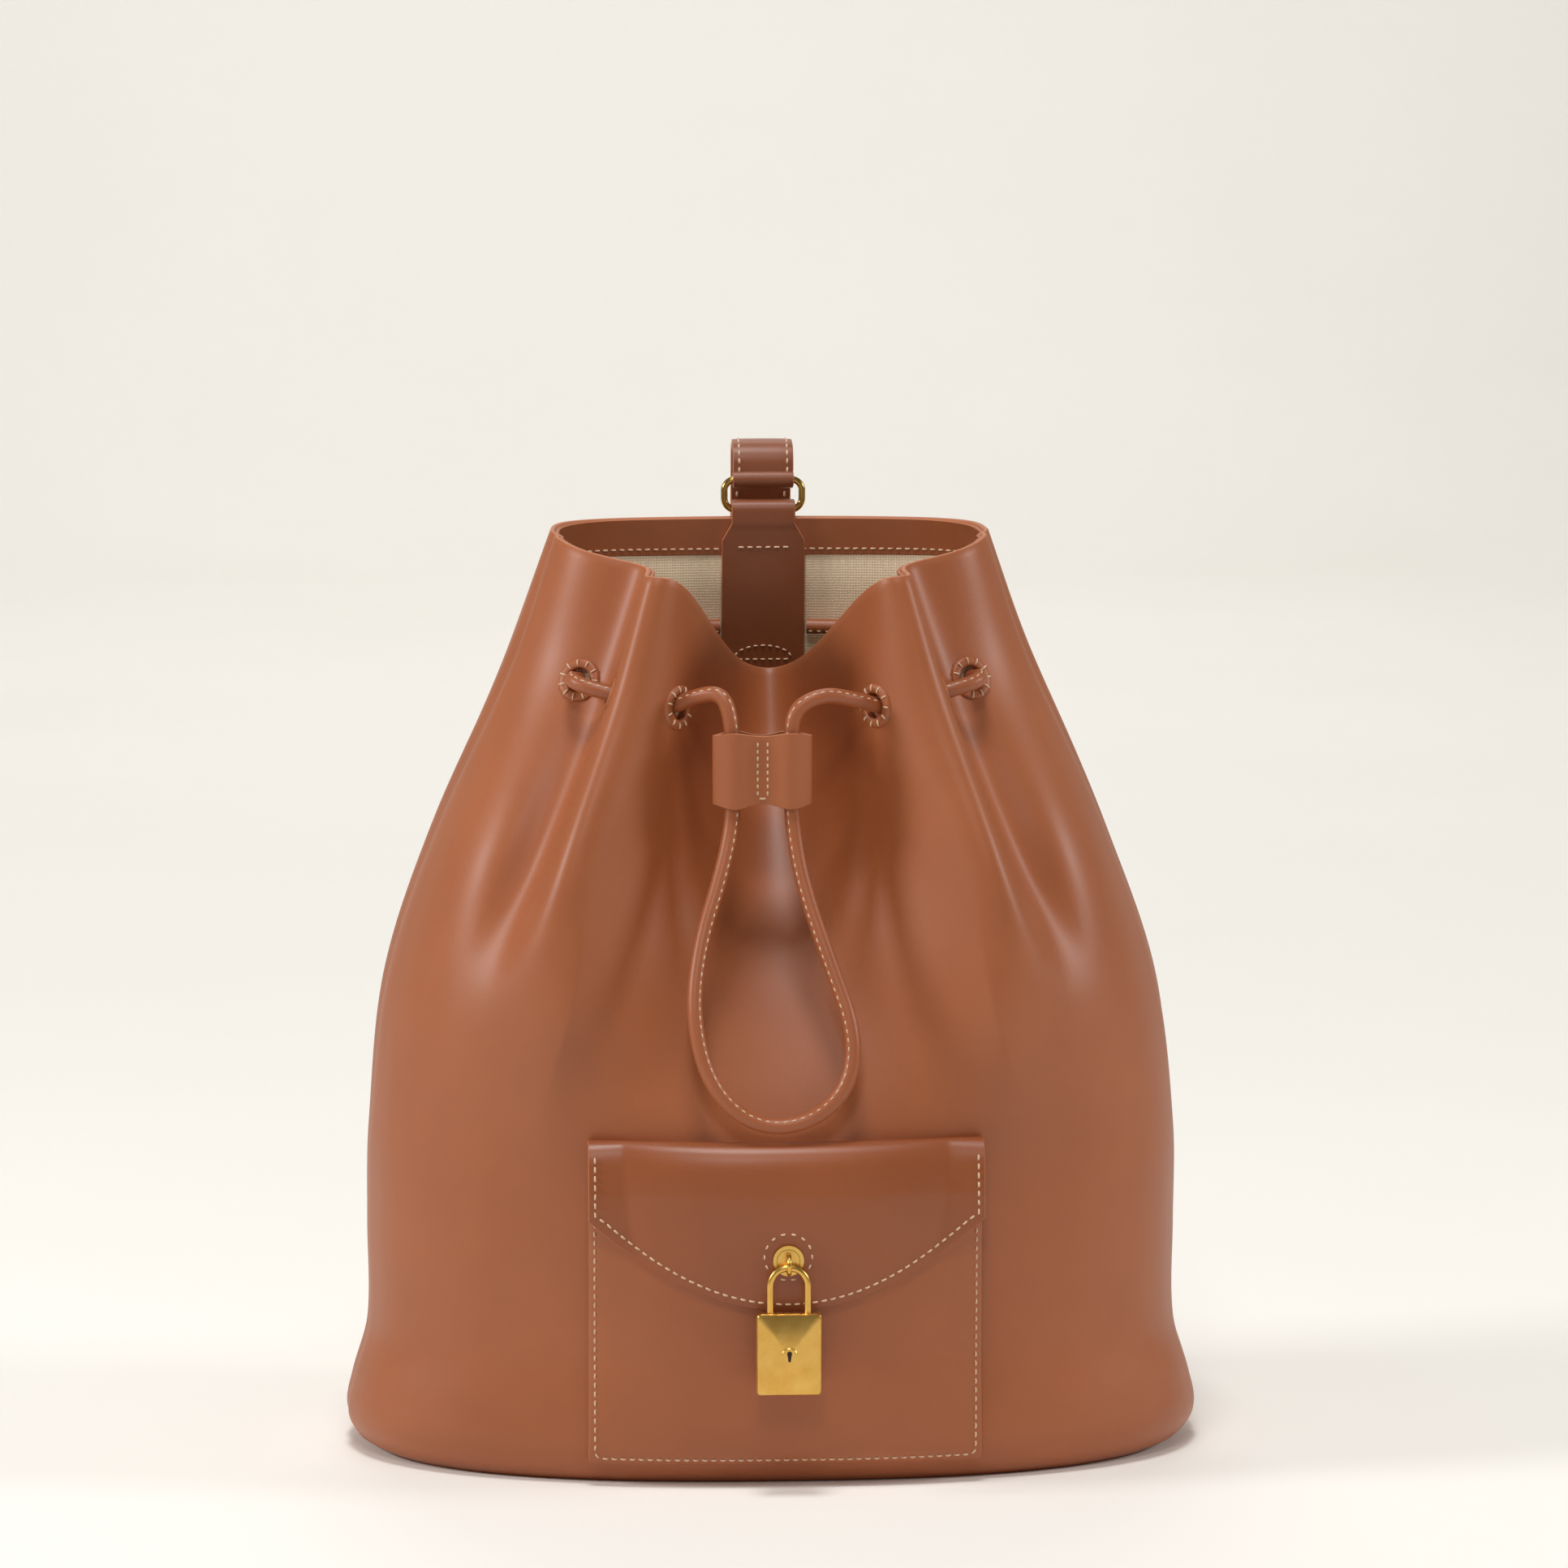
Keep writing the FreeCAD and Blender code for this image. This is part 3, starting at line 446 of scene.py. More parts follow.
def half_ring(level):
    """The right half of a level, from the middle of the front to the middle of the back."""
    if level >= len(BODY):
        return [np.array(point, float) for point in GATHERED[level - len(BODY)]]
    height, half_width, half_depth = BODY[level]
    power = 2 / ROUNDNESS
    points = []
    for angle in ANGLES:
        across, along = math.sin(math.radians(angle)), math.cos(math.radians(angle))
        y = -half_depth * math.copysign(abs(along) ** power, along) + LEAN
        points.append(np.array((half_width * abs(across) ** power, y, height)))
    return points


def ring(level):
    """One level all the way round, from the right seam across the front and the back, open."""
    right = half_ring(level)
    left = [point * (-1, 1, 1) for point in right]
    return right[SEAM::-1] + left[1:] + right[-2:SEAM:-1]


def eased(before, start, end, after, share):
    """Points between start and end on smooth curves that pass both and never swing wide."""
    step = length_of(end - start)
    leave = (end - before) * (step / np.maximum(length_of(end - before), step))
    arrive = (after - start) * (step / np.maximum(length_of(after - start), step))
    square, cube = share ** 2, share ** 3
    return (start * (2 * cube - 3 * square + 1) + leave * (cube - 2 * square + share)
            + end * (3 * square - 2 * cube) + arrive * (cube - square))


def refined(rings, steps):
    """More rings, with a number of steps from each to the next."""
    result = []
    last = len(rings) - 1
    for level in range(last):
        around = rings[max(level - 1, 0)], rings[level], rings[level + 1], rings[min(level + 2, last)]
        result += [eased(*around, step / steps) for step in range(steps)]
    return np.array(result + [rings[-1]])


def closed_spline(spacing, steps):
    """The weights of a smooth closed curve through points with the given spacing, as a matrix."""
    here = np.eye(len(spacing))
    before, after = np.roll(here, -1, axis=1), np.roll(here, 1, axis=1)
    left, right = np.roll(spacing, 1)[:, None], spacing[:, None]
    slopes = 6 * ((before - here) / left + (after - here) / right)
    curvature = np.linalg.solve(left * before + 2 * (left + right) * here + right * after, slopes)
    share = (np.arange(steps) / steps)[:, None]
    rest = 1 - share
    weights = []
    for n, step in enumerate(spacing):
        bend = (rest ** 3 - rest) * curvature[n] + (share ** 3 - share) * (after @ curvature)[n]
        weights.append(rest * here[n] + share * after[n] + bend * step ** 2 / 6)
    return np.concatenate(weights)


def body_grid():
    """The body's points by row, from the floor to the rim, and by column round it."""
    rings = [np.array(ring(level)) for level in range(LEVELS)]
    rough = refined(rings, UP)
    spacing = np.linalg.norm(np.roll(rough, -1, axis=1) - rough, axis=2).mean(axis=0)
    return np.einsum("sc,rcx->rsx", closed_spline(spacing, AROUND), rough)


def eased_bowl(surface):
    """The same grid with the ripples taken out of the hollow between the two big pleats."""
    x, y, z = surface[..., 0], surface[..., 1], surface[..., 2]
    ridge = np.interp(z, (120, 160, 210, 262), (86, 72, 64, 38))
    weight = (np.clip((ridge - abs(x)) / 18, 0, 1) * np.clip((5 - y) / 10, 0, 1)
              * np.clip((z - 112) / 25, 0, 1) * np.clip((250 - z) / 30, 0, 1))[..., None]
    for _ in range(EASING_PASSES):
        beside = (np.roll(surface, 1, axis=1) + np.roll(surface, -1, axis=1)) / 4
        beside[1:-1] += (surface[:-2] + surface[2:]) / 4
        beside[[0, -1]] *= 2
        surface = surface + weight * (beside - surface)
    return surface


SURFACE = eased_bowl(body_grid())
ROWS, SAMPLES = SURFACE.shape[:2]
NORMALS = -normals_of(SURFACE, True)


def softened(surface, normals):
    """The leather's slow waves, and the dents along the two side seams."""
    x, y, z = surface[..., 0], surface[..., 1], surface[..., 2]
    wave = (np.sin(x / 31 + z / 47 + 1.3) * np.sin(z / 38 - x / 90 + 0.4) * 0.5
            + np.sin(x / 17 - z / 23 + y / 40) * 0.18)
    up = np.clip(z / 20, 0, 1) * np.clip((330 - z) / 60, 0, 1)
    column = np.arange(SAMPLES)
    dent = 0.0
    for seam_column in (0, 2 * SEAM * AROUND):
        gap = np.minimum(abs(column - seam_column), SAMPLES - abs(column - seam_column))
        dent = dent - 0.9 * np.exp(-(gap / 0.9) ** 2) + 0.45 * np.exp(-((gap - 2.6) / 1.3) ** 2)
    return surface + normals * ((wave * up)[..., None] + np.broadcast_to(dent, z.shape)[..., None])


ABOVE_FLOOR = 0.05
SKIN_GRID = softened(SURFACE, NORMALS)
SKIN_GRID[..., 2] = np.maximum(SKIN_GRID[..., 2], ABOVE_FLOOR)


def below_rim(drop, depth):
    """The points and normals at a distance below the rim, measured down the leather, all the way round."""
    points, normals = [], []
    for column in range(SAMPLES):
        line = SKIN_GRID[::-1, column]
        travelled = lengths(line)
        normal = unit(sampled(NORMALS[::-1, column], travelled, [drop])[0])
        points.append(sampled(line, travelled, [drop])[0] - normal * depth)
        normals.append(normal)
    return np.array(points), np.array(normals)


def eyelet_places():
    """Centre, direction and radius of the eyelets on both sides."""
    for centre, outward, radius in EYELETS:
        for side in (1, -1):
            mirror = np.array((side, 1, 1))
            yield mirror * centre, unit(mirror * outward), radius


HOLE_MARGIN = 2.2       # by how much an eyelet's hole is smaller than its washer
HOLE_DEPTH = 7.0


def make_skin():
    """The leather body: the bottom, the outside, the rolled rim and the inside."""
    normals = -normals_of(SKIN_GRID, True)
    base_middle = np.array((0, LEAN, 0.0))
    base = [base_middle + (SKIN_GRID[0] - base_middle) * share + (0, 0, lift)
            for share, lift in ((0.02, 1.2), (0.4, 1.2), (0.8, 1.0), (0.95, 0.7), (0.985, 0.2))]
    rim, rim_normal = SKIN_GRID[-1], normals[-1]
    upward = unit(SKIN_GRID[-1] - SKIN_GRID[-2])
    roll = [rim - rim_normal * 0.25 + upward * 0.35, rim - rim_normal * 0.9 + upward * 0.5,
            rim - rim_normal * 1.55 + upward * 0.35]
    inside = [SKIN_GRID[row] - normals[row] * LEATHER for row in range(ROWS - 1, 2, -2)]
    grid = np.array([*base, *SKIN_GRID, *roll, *inside])
    count = len(grid)
    faces = grid_faces(count, SAMPLES, True)
    first_edge = len(base) + ROWS
    centres = grid.reshape(-1, 3)[np.array(faces)].mean(axis=1)
    rows = np.repeat(np.arange(count - 1), SAMPLES)
    kept = np.ones(len(faces), bool)
    for centre, outward, radius in eyelet_places():
        away = centres - centre
        along = away @ outward
        across = np.linalg.norm(away - along[:, None] * outward, axis=1)
        kept &= ~((across < radius - HOLE_MARGIN) & (abs(along) < HOLE_DEPTH))
    # The rolled rim takes the edge leather, whose light tan is partly a painted highlight.
    indices = np.where((rows >= first_edge - 1) & (rows <= first_edge + 2), 1, 0)
    # The bottom rows take the darker base leather, painted shade for the underside.
    indices[rows < len(base) - 1] = 2
    faces = [face for face, keep in zip(faces, kept) if keep]
    skin = add_mesh("body_leather", grid.reshape(-1, 3), faces, [SKIN, EDGE_AND_HIGHLIGHT, SHADED_BASE], indices[kept].tolist(),
                    angle=70)
    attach(skin, "bag")
    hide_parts("front_panel", "back_panel", "base_panel")


FACING_DEPTH = 3.2      # from the outside of the body to the inside of the facing
FACING_SEAM = 11.0      # below the rim
LINING_DEPTH = 2.3
LINING_FLOOR = 5.6
CANVAS = 0.5


def make_lining():
    """Canvas inside, from under the facing down and over the base."""
    top, _ = below_rim(11.5, LINING_DEPTH)
    rows = [top]
    for row in range(ROWS - 1, UP, -3):
        line = SKIN_GRID[row] - NORMALS[row] * LINING_DEPTH
        if line[:, 2].max() < top[:, 2].min() - 1:
            rows.append(line)
        elif row < ROWS - UP // 2:
            rows.append(np.where(line[:, 2:3] < top[:, 2:3] - 3, line, rows[-1] - (0, 0, 0.2)))
    middle = np.array((0, LEAN, LINING_FLOOR))
    floor = rows[-1] * (1, 1, 0) + (0, 0, LINING_FLOOR)
    rows += [middle + (floor - middle) * share for share in (0.985, 0.9, 0.6, 0.3, 0.02)]
    grid = np.array(rows)
    outward = normals_of(grid, True)
    lining = slab("canvas_lining", grid, grid - outward * CANVAS, True, LINING, LINING, CANVAS / 2)
    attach(lining, "bag")
    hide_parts("front_lining", "back_lining", "base_lining")


def make_facing():
    """The leather band turned inside the rim, with its stitch line near the lower edge."""
    drops = (0.0, 3, 6, 9, 12, 13)
    outer = np.array([below_rim(drop, LEATHER + 0.1)[0] for drop in drops])
    inner = np.array([below_rim(drop, FACING_DEPTH)[0] for drop in drops])
    facing = slab("rim_facing", outer, inner, True, bulge=0.45)
    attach(facing, "bag")
    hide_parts("front_rim_facing", "back_rim_facing")
    points, normals = below_rim(FACING_SEAM, FACING_DEPTH + PROUD)
    seam("bag", np.vstack([points, points[:1]]), -np.vstack([normals, normals[:1]]))


make_skin()
make_lining()
make_facing()

# ---------------- eyelets

EYELET_HOLE = 4.2       # the inner radius of a washer
WASHER_WIDTH = 3.2
# The washer's section: how far out from the hole, and how high above the leather.
WASHER = [(0.0, -2.6), (0.0, 0.7), (0.35, 1.05), (1.0, 1.2), (2.0, 1.15), (2.7, 0.95), (3.1, 0.45),
          (3.2, -0.3)]
WASHER_SIDES = 40
LEAST_SCALE = 0.6       # of the washer's height, where the washer is narrow
SMALLEST_SEWN = 6       # washers of a smaller radius have no stitches
EYELET_STITCHES = 11
STITCH_RING = 5.9
RAY_START = 7
MOST_RISE = 2.5

skin_tree = BVHTree.FromPolygons(
    [Vector(point) for point in SKIN_GRID.reshape(-1, 3)], grid_faces(ROWS, SAMPLES, True))


def rise_to_skin(place, outward):
    """How far the leather is from a place, along the eyelet's direction, or 0 where there is none."""
    hit = skin_tree.ray_cast(Vector(place + outward * RAY_START), Vector(-outward), 2 * RAY_START)[0]
    if hit is None:
        return 0.0
    return float(np.clip((np.array(hit) - place) @ outward, -MOST_RISE, MOST_RISE))


def make_eyelets():
    points, faces = [], []
    for centre, outward, radius in eyelet_places():
        side = unit(np.cross(outward, (0, 0, 1.0)))
        rise = np.cross(side, outward)
        scale = (radius - EYELET_HOLE) / WASHER_WIDTH
        faces += grid_faces(len(WASHER), WASHER_SIDES, True, len(points))
        for shift, lift in WASHER:
            for across, up in round_points(WASHER_SIDES):
                place = centre + (side * across + rise * up) * (EYELET_HOLE + shift * scale)
                height = rise_to_skin(place, outward) + lift * max(scale, LEAST_SCALE)
                points.append(place + outward * height)
        if radius < SMALLEST_SEWN:
            continue
        for across, up in round_points(EYELET_STITCHES, first=0.5):
            away = side * across + rise * up
            place = centre + away * STITCH_RING
            stitch("bag", place + outward * (rise_to_skin(place, outward) + 1.2), away, outward, 2.6, 0.33)
    washers = add_mesh("eyelet_leather", points, faces, [SKIN], angle=60)
    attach(washers, "bag")
    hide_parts("eyelet_washers")


make_eyelets()

# ---------------- pocket and flap

POCKET_X = 1.0
POCKET_WIDTH = 134.0
POCKET_BOTTOM = 8.0
POCKET_TOP = 105.0
POCKET_GAP = 0.9        # between the body and the back of the pocket's leather
POCKET_SWELL = 8.0
POCKET_CORNER = 2.5
FLAP_SIDE = 94.0        # height of the flap's edge at its sides
FLAP_TIP = 64.0         # and in the middle
FLAP_LIFT = 4.6
FLAP_EDGE_Y = -92.3
ROSETTE_Z = 82.5        # middle of the dotted ring of stitches
POCKET_ROWS = 61
GRID_WIDTH = 97
SEAM_POINTS = 40
ROSETTE_RING = 8
# The fold's line: its share of the way from the body to the flap's front, and its height.
FOLD = [(0.10, 120.2), (0.32, 121.0), (0.58, 121.0), (0.82, 119.9), (0.95, 117.6)]
FORWARD = np.array((0, -1.0, 0))
HINGE = (0.001, -0.1015, 0.114)     # of the flap, in metres
HINGE_Z = HINGE[2] / MM


def belly_front(x, height):
    """Y of the body's front at a height on the belly."""
    heights = [level[0] for level in BODY]
    half_width = np.interp(height, heights, [level[1] for level in BODY])
    half_depth = np.interp(height, heights, [level[2] for level in BODY])
    return LEAN - half_depth * (1 - (abs(x) / half_width) ** ROUNDNESS) ** (1 / ROUNDNESS)


def swell(across, up):
    return POCKET_SWELL * math.sin(math.pi * across) ** 0.6 * math.sin(math.pi / 2 * up) ** 0.6


def pocket_share(x, height):
    across = (x - POCKET_X) / POCKET_WIDTH + 0.5
    up = (height - POCKET_BOTTOM) / (POCKET_TOP - POCKET_BOTTOM)
    return min(max(across, 0.0), 1.0), min(max(up, 0.0), 1.0)


def pocket_back(x, height):
    return belly_front(x, height) - POCKET_GAP - swell(*pocket_share(x, height))


def flap_back(x, height):
    return min(belly_front(x, height) - FLAP_LIFT - swell(*pocket_share(x, height)), FLAP_EDGE_Y)


def facing_out(face, x, z):
    """A direction straight out of a front surface that gives y by x and z."""
    slope = (face(x + 0.4, z) - face(x - 0.4, z)) / 0.8
    rise = (face(x, z + 0.4) - face(x, z - 0.4)) / 0.8
    return np.array((slope, -1, rise))


def pocket_outline():
    """The stitched sides and bottom of the pocket, from the left top down and up to the right top."""
    left, right = POCKET_X - POCKET_WIDTH / 2 + INSET, POCKET_X + POCKET_WIDTH / 2 - INSET
    low, corner = POCKET_BOTTOM + INSET, POCKET_CORNER
    places = [(left, z) for z in np.linspace(POCKET_TOP, low + corner, SEAM_POINTS)]
    places += arc((left + corner, low + corner), corner, 180, 270, 5)[1:]
    places += [(x, low) for x in np.linspace(left + corner, right - corner, SEAM_POINTS)[1:]]
    places += arc((right - corner, low + corner), corner, 270, 360, 5)[1:]
    return places + [(right, z) for z in np.linspace(low + corner, POCKET_TOP, SEAM_POINTS)[1:]]


def make_pocket():
    shares = 0.5 - 0.5 * np.cos(np.pi * np.arange(GRID_WIDTH) / (GRID_WIDTH - 1))
    across = POCKET_X + (shares - 0.5) * POCKET_WIDTH
    heights = np.linspace(POCKET_BOTTOM, POCKET_TOP, POCKET_ROWS)
    inner = np.array([[(x, pocket_back(x, height), height) for x in across] for height in heights])
    pocket = slab("pocket_leather", inner + (0, -LEATHER, 0), inner)
    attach(pocket, "bag")
    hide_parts("pocket_panel")
    places = pocket_outline()
    seam("bag", [(x, pocket_back(x, z) - LEATHER - PROUD, z) for x, z in places],
         [facing_out(pocket_back, x, z) for x, z in places])


def flap_low(across):
    return FLAP_TIP + (FLAP_SIDE - FLAP_TIP) * across ** 2


def flap_lean(height):
    """How far the top of the flap leans back as it rolls over to the fold."""
    return 3.0 * np.clip((height - 102) / 16, 0, 1) ** 1.5


def flap_column(x, low):
    """The flap's outer line in the YZ plane, from the body over the fold and down to its edge."""
    body = belly_front(x, 112)
    front = flap_back(x, HINGE_Z) - LEATHER
    reach = front - body
    line = [(body + 0.6, 118.9)]
    line += [(body + reach * share, height) for share, height in FOLD]
    line.append((front, 114.6))
    for height in np.linspace(HINGE_Z - 1.4, low, 44)[1:]:
        line.append((flap_back(x, height) - LEATHER, height))
    return [(y + flap_lean(height) * np.clip((y - body) / reach, 0, 1), height) for y, height in line]


def make_flap():
    lines = []
    for across in -np.cos(np.pi * np.arange(GRID_WIDTH) / (GRID_WIDTH - 1)):
        x = POCKET_X + across * POCKET_WIDTH / 2
        lines.append([(x, y, z) for y, z in flap_column(x, flap_low(across))])
    outer = np.array(lines).transpose(1, 0, 2)
    for _ in range(3):
        outer[1:12] = (outer[0:11] + 2 * outer[1:12] + outer[2:13]) / 4
    normals = -normals_of(outer)
    sag = np.clip((outer[..., 2] - 98) / 8, 0, 1) * np.clip((119 - outer[..., 2]) / 8, 0, 1)
    outer = outer - normals * (sag * 0.5 * (0.6 + 0.4 * np.sin(outer[..., 0] / 15 + 0.6)))[..., None]
    inner = outer - normals * LEATHER
    inner[:2] = outer[:2] + (0, 0, -LEATHER)
    flap = slab("flap_leather", outer, inner, face=FLAP)
    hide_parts("flap_fold", "pocket_flap")
    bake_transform(flap)


def flap_face(x, z):
    return flap_back(x, z) + flap_lean(z)


def on_flap(x, z):
    return np.array((x, flap_face(x, z) - LEATHER - PROUD, z))


def make_flap_seams():
    """The line of stitches along the flap's edge, and the dotted ring round the rosette."""
    half = POCKET_WIDTH / 2 - INSET
    sides = np.linspace(116, FLAP_SIDE + INSET, 12)
    curve = []
    for across in np.linspace(-1, 1, 90):
        slope = 2 * (FLAP_SIDE - FLAP_TIP) * across / half
        curve.append((POCKET_X + across * half, flap_low(across) + INSET * math.hypot(1, slope)))
    places = [(POCKET_X - half, z) for z in sides] + curve[3:-3]
    places += [(POCKET_X + half, z) for z in sides[::-1]]
    seam("flap", [on_flap(x, z) for x, z in places], [facing_out(flap_face, x, z) for x, z in places])
    for across, up in round_points(14):
        place = on_flap(POCKET_X + ROSETTE_RING * across, ROSETTE_Z + ROSETTE_RING * up)
        stitch("flap", place, np.array((-up, 0, across)), FORWARD, 1.7, 0.34)


make_pocket()
make_flap()
make_flap_seams()

# ---------------- slider

SLIDER_X, SLIDER_Y = -6.0, -65.0
SLIDER_LOW, SLIDER_HIGH = 231.0, 257.0
SLIDER_HALF = 17.0
LOBE_X, LOBE_WIDTH = 9.6, 5.2
WAIST = 2.6             # half the sleeve's thickness between the lobes
SLEEVE_WALL = 1.5
END_WAVE = 0.9          # how far the sleeve's ends rise and fall across it
SLIDER_ROWS = 23


def slider_outline():
    """The sleeve's section: two round lobes over the cord's legs and a sewn waist between them."""
    points = []
    for across, up in round_points(96):
        x = SLIDER_HALF * math.copysign(abs(across) ** 0.8, across)
        half = WAIST + WAIST * math.exp(-((abs(x) - LOBE_X) / LOBE_WIDTH) ** 2)
        end = math.sqrt(max(1 - (x / SLIDER_HALF) ** 6, 0.0))
        points.append((x, math.copysign(min(half * end, 2 * WAIST), up) if end else 0.0))
    return points


def make_slider():
    rows = []
    for share in np.linspace(0, 1, SLIDER_ROWS):
        line = []
        for x, y in slider_outline():
            wave = END_WAVE * math.cos(math.pi * x / 9.8)
            low, high = SLIDER_LOW + END_WAVE + wave, SLIDER_HIGH - END_WAVE - wave * 0.7
            line.append((SLIDER_X + x, SLIDER_Y + y, low + share * (high - low)))
        rows.append(line)
    outer = np.array(rows)
    middle = np.array((SLIDER_X, SLIDER_Y, 0))
    x, y, z = np.moveaxis(outer - middle, -1, 0)
    inner = middle + np.stack([x * 0.93, np.sign(y) * np.maximum(abs(y) - SLEEVE_WALL, 0.5), z], axis=-1)
    sleeve = slab("slider_leather", outer, inner, True, bulge=0.2)
    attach(sleeve, "slider")
    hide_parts("cord_slider")
    front = SLIDER_Y - 2.75
    for x in (SLIDER_X - 1.7, SLIDER_X + 1.7):
        seam("slider", [(x, front, SLIDER_HIGH - 3.0), (x, front, SLIDER_LOW + 4.0)], [FORWARD] * 2, 2.5, 1.7)
    stitch("slider", np.array((SLIDER_X, front, SLIDER_LOW + 3.4)), np.array((1.0, 0, 0)), FORWARD, 2.6)
    return sleeve


slider = make_slider()


def evaluated_curve(points, per_span=14):
    """The drawcord's smooth centre line, as the middle of its quadratic spline."""
    line = [points[0]]
    for n in range(1, len(points) - 1):
        start = points[0] if n == 1 else (points[n - 1] + points[n]) / 2
        end = points[-1] if n == len(points) - 2 else (points[n] + points[n + 1]) / 2
        for share in np.linspace(0, 1, per_span)[1:]:
            rest = 1 - share
            line.append(start * rest ** 2 + points[n] * 2 * share * rest + end * share ** 2)
    return np.array(line)


def make_cord_seam():
    line = evaluated_curve(np.array(cord_points, float))
    tangents = unit(np.gradient(line, axis=0))
    points, normals = [], []
    for place, tangent in zip(line, tangents):
        toward = np.array((tangent[2], 0.0, -tangent[0])) * 0.75 + np.array((0, -1.0, 0.1))
        toward = unit(toward - tangent * (toward @ tangent))
        points.append(place + toward * (CORD_DIAMETER / 2 - PROUD))
        normals.append(toward)
    seam("cord", points, normals, 3.0, 1.7, 0.27)


make_cord_seam()

# ---------------- padlock, and the finish of the metal that stays as it is in the frame

LOCK_X, LOCK_Y = 1.0, -104.7
LOCK_WIDTH, LOCK_HEIGHT, LOCK_THICKNESS, LOCK_TOP = 22.0, 28.0, 6.0, 64.2
LOCK_CORNER = 1.6
LOCK_FRONT = LOCK_Y - LOCK_THICKNESS / 2
PLUG_Z = 50.0
KEYHOLE_RADIUS = 0.85
KEYHOLE_Z = PLUG_Z + 0.9


def rounded_corners(half_x, half_z, corner, count):
    """The corners of a rounded rectangle about the origin, each an arc."""
    for turn, (side_x, side_z) in enumerate(((1, 1), (-1, 1), (-1, -1), (1, -1))):
        for part in range(count):
            angle = math.pi / 2 * (turn + part / (count - 1))
            yield (side_x * (half_x - corner) + corner * math.cos(angle),
                   side_z * (half_z - corner) + corner * math.sin(angle))


def make_padlock():
    """The case, with a shallow four-sided point on its front."""
    middle_z = LOCK_TOP - LOCK_HEIGHT / 2
    back = LOCK_Y + LOCK_THICKNESS / 2 - 0.8
    levels = ((0.6, back), (0.0, back - 0.5), (0.0, LOCK_FRONT + 1.1), (0.35, LOCK_FRONT + 0.45),
              (1.0, LOCK_FRONT + 0.25))
    outlines = [[(LOCK_X + x, y, middle_z + z) for x, z in
                 rounded_corners(LOCK_WIDTH / 2 - inset, LOCK_HEIGHT / 2 - inset, LOCK_CORNER, 6)]
                for inset, y in levels]
    points, faces = stacked(outlines)
    tip, count = len(points), len(outlines[0])
    faces[-1] = list(range(count))
    points.append((LOCK_X, LOCK_FRONT - 1.0, middle_z))
    faces += [(tip - count + step, tip - count + (step + 1) % count, tip) for step in range(count)]
    case = add_mesh("padlock_case", points, faces, [GOLD], angle=16)
    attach(case, "padlock")
    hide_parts("lock_case")


def make_keyhole():
    """The key plug's face on the point of the case, and its keyhole, a dark solid of painted shade."""
    front = LOCK_FRONT - 1.15
    rings = ((2.9, front + 1.6), (2.9, front + 0.25), (2.6, front), (1.5, front - 0.02))
    outlines = [[(LOCK_X + x, y, PLUG_Z + z) for x, z in round_points(32, radius)] for radius, y in rings]
    plug = add_mesh("key_plug", *stacked(outlines), [GOLD], angle=35)
    hole = [(LOCK_X + x, KEYHOLE_Z + z) for x, z in round_points(24, KEYHOLE_RADIUS)]
    outline = [(x, z) for x, z in hole if z > PLUG_Z + 0.4]
    outline += [(LOCK_X + 0.38, PLUG_Z - 1.9), (LOCK_X - 0.38, PLUG_Z - 1.9)]
    middle = np.mean(outline, axis=0)
    outline = sorted((math.atan2(z - middle[1], x - middle[0]), x, z) for x, z in outline)
    outlines = [[(x, y, z) for _, x, z in outline] for y in (front + 0.5, front - 0.06)]
    keyhole = add_mesh("keyhole", *stacked(outlines), [HOLE_SHADE], angle=30)
    for piece in (plug, keyhole):
        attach(piece, "lock_core")
    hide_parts("lock_plug")


make_padlock()
make_keyhole()

BOARD = leather("stiff_board", (108, 96, 84), (126, 112, 98), (0.8, 0.9), 0.1)
FINISHES = [
    (GOLD, ("lock_staple", "flap_rosette", "lock_shackle", "lock_back_plate")),
    (STEEL, ("lock_latch", "latch_spring", "snap_stud", "snap_socket")),
    (WIRE, ("top_ring", "lower_ring", "strap_buckle", "buckle_prong")),
    (BOARD, ("base_board",)),
]
for finish, names in FINISHES:
    for name in names:
        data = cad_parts[name].data
        data.materials.clear()
        data.materials.append(finish)
        data.shade_smooth()
        data.set_sharp_from_angle(angle=math.radians(35))

# ---------------- tabs and strap

# Bars and other places in the strap's own plane are a y and a z.
RING_BAR = (50.45, 322.7)
UPPER_BAR = (50.45, 333.5)
LOWER_BAR = (88.6, 25.0)
RING_END = LOWER_BAR[0] + 11.0
TAB_INSIDE, TAB_OVER, TAB_OUTSIDE = 47.5, 53.4, 53.8
TAB_WIDTH, TAB_NECK = 29, 22
LOWER_TAB_Y = 85.5
STRAP_THICKNESS = 3.2
STRAP_WIDTH = 21.0
PILLOW = 0.16           # the share of its thickness that a strip loses at its edges
# Along the strap's straight part, from the buckle's top bar down, and out of its face.
ALONG, OUT = np.array((0.1553, -0.9879)), np.array((0.9879, 0.1553))
BUCKLE_TOP = np.array((88.25, 212.0))
STRAP_HOLES = (-44, -26, 32, 50)
HOLE_RADIUS = 1.6


def rounded_line(points, radii, step=1.2):
    """A YZ line with tangent arcs at its corners, sampled evenly."""
    points = [np.array(point, float) for point in points]
    line = [points[0]]
    for before, corner, after, radius in zip(points, points[1:], points[2:], radii):
        back, on = unit(before - corner), unit(after - corner)
        half = (math.pi - math.acos(float(np.clip(back @ on, -1, 1)))) / 2
        reach = radius * math.tan(half)
        centre = corner + unit(back + on) * (radius / math.cos(half))
        start, end = corner + back * reach - centre, corner + on * reach - centre
        sign = 1 if start[0] * end[1] - start[1] * end[0] > 0 else -1
        for angle in np.linspace(0, 2 * half * sign, max(int(2 * half * radius / step), 4)):
            turn = np.array(((math.cos(angle), -math.sin(angle)), (math.sin(angle), math.cos(angle))))
            line.append(centre + turn @ start)
    line.append(points[-1])
    return evenly(line, max(int(lengths(line)[-1] / step), 3) + 1)


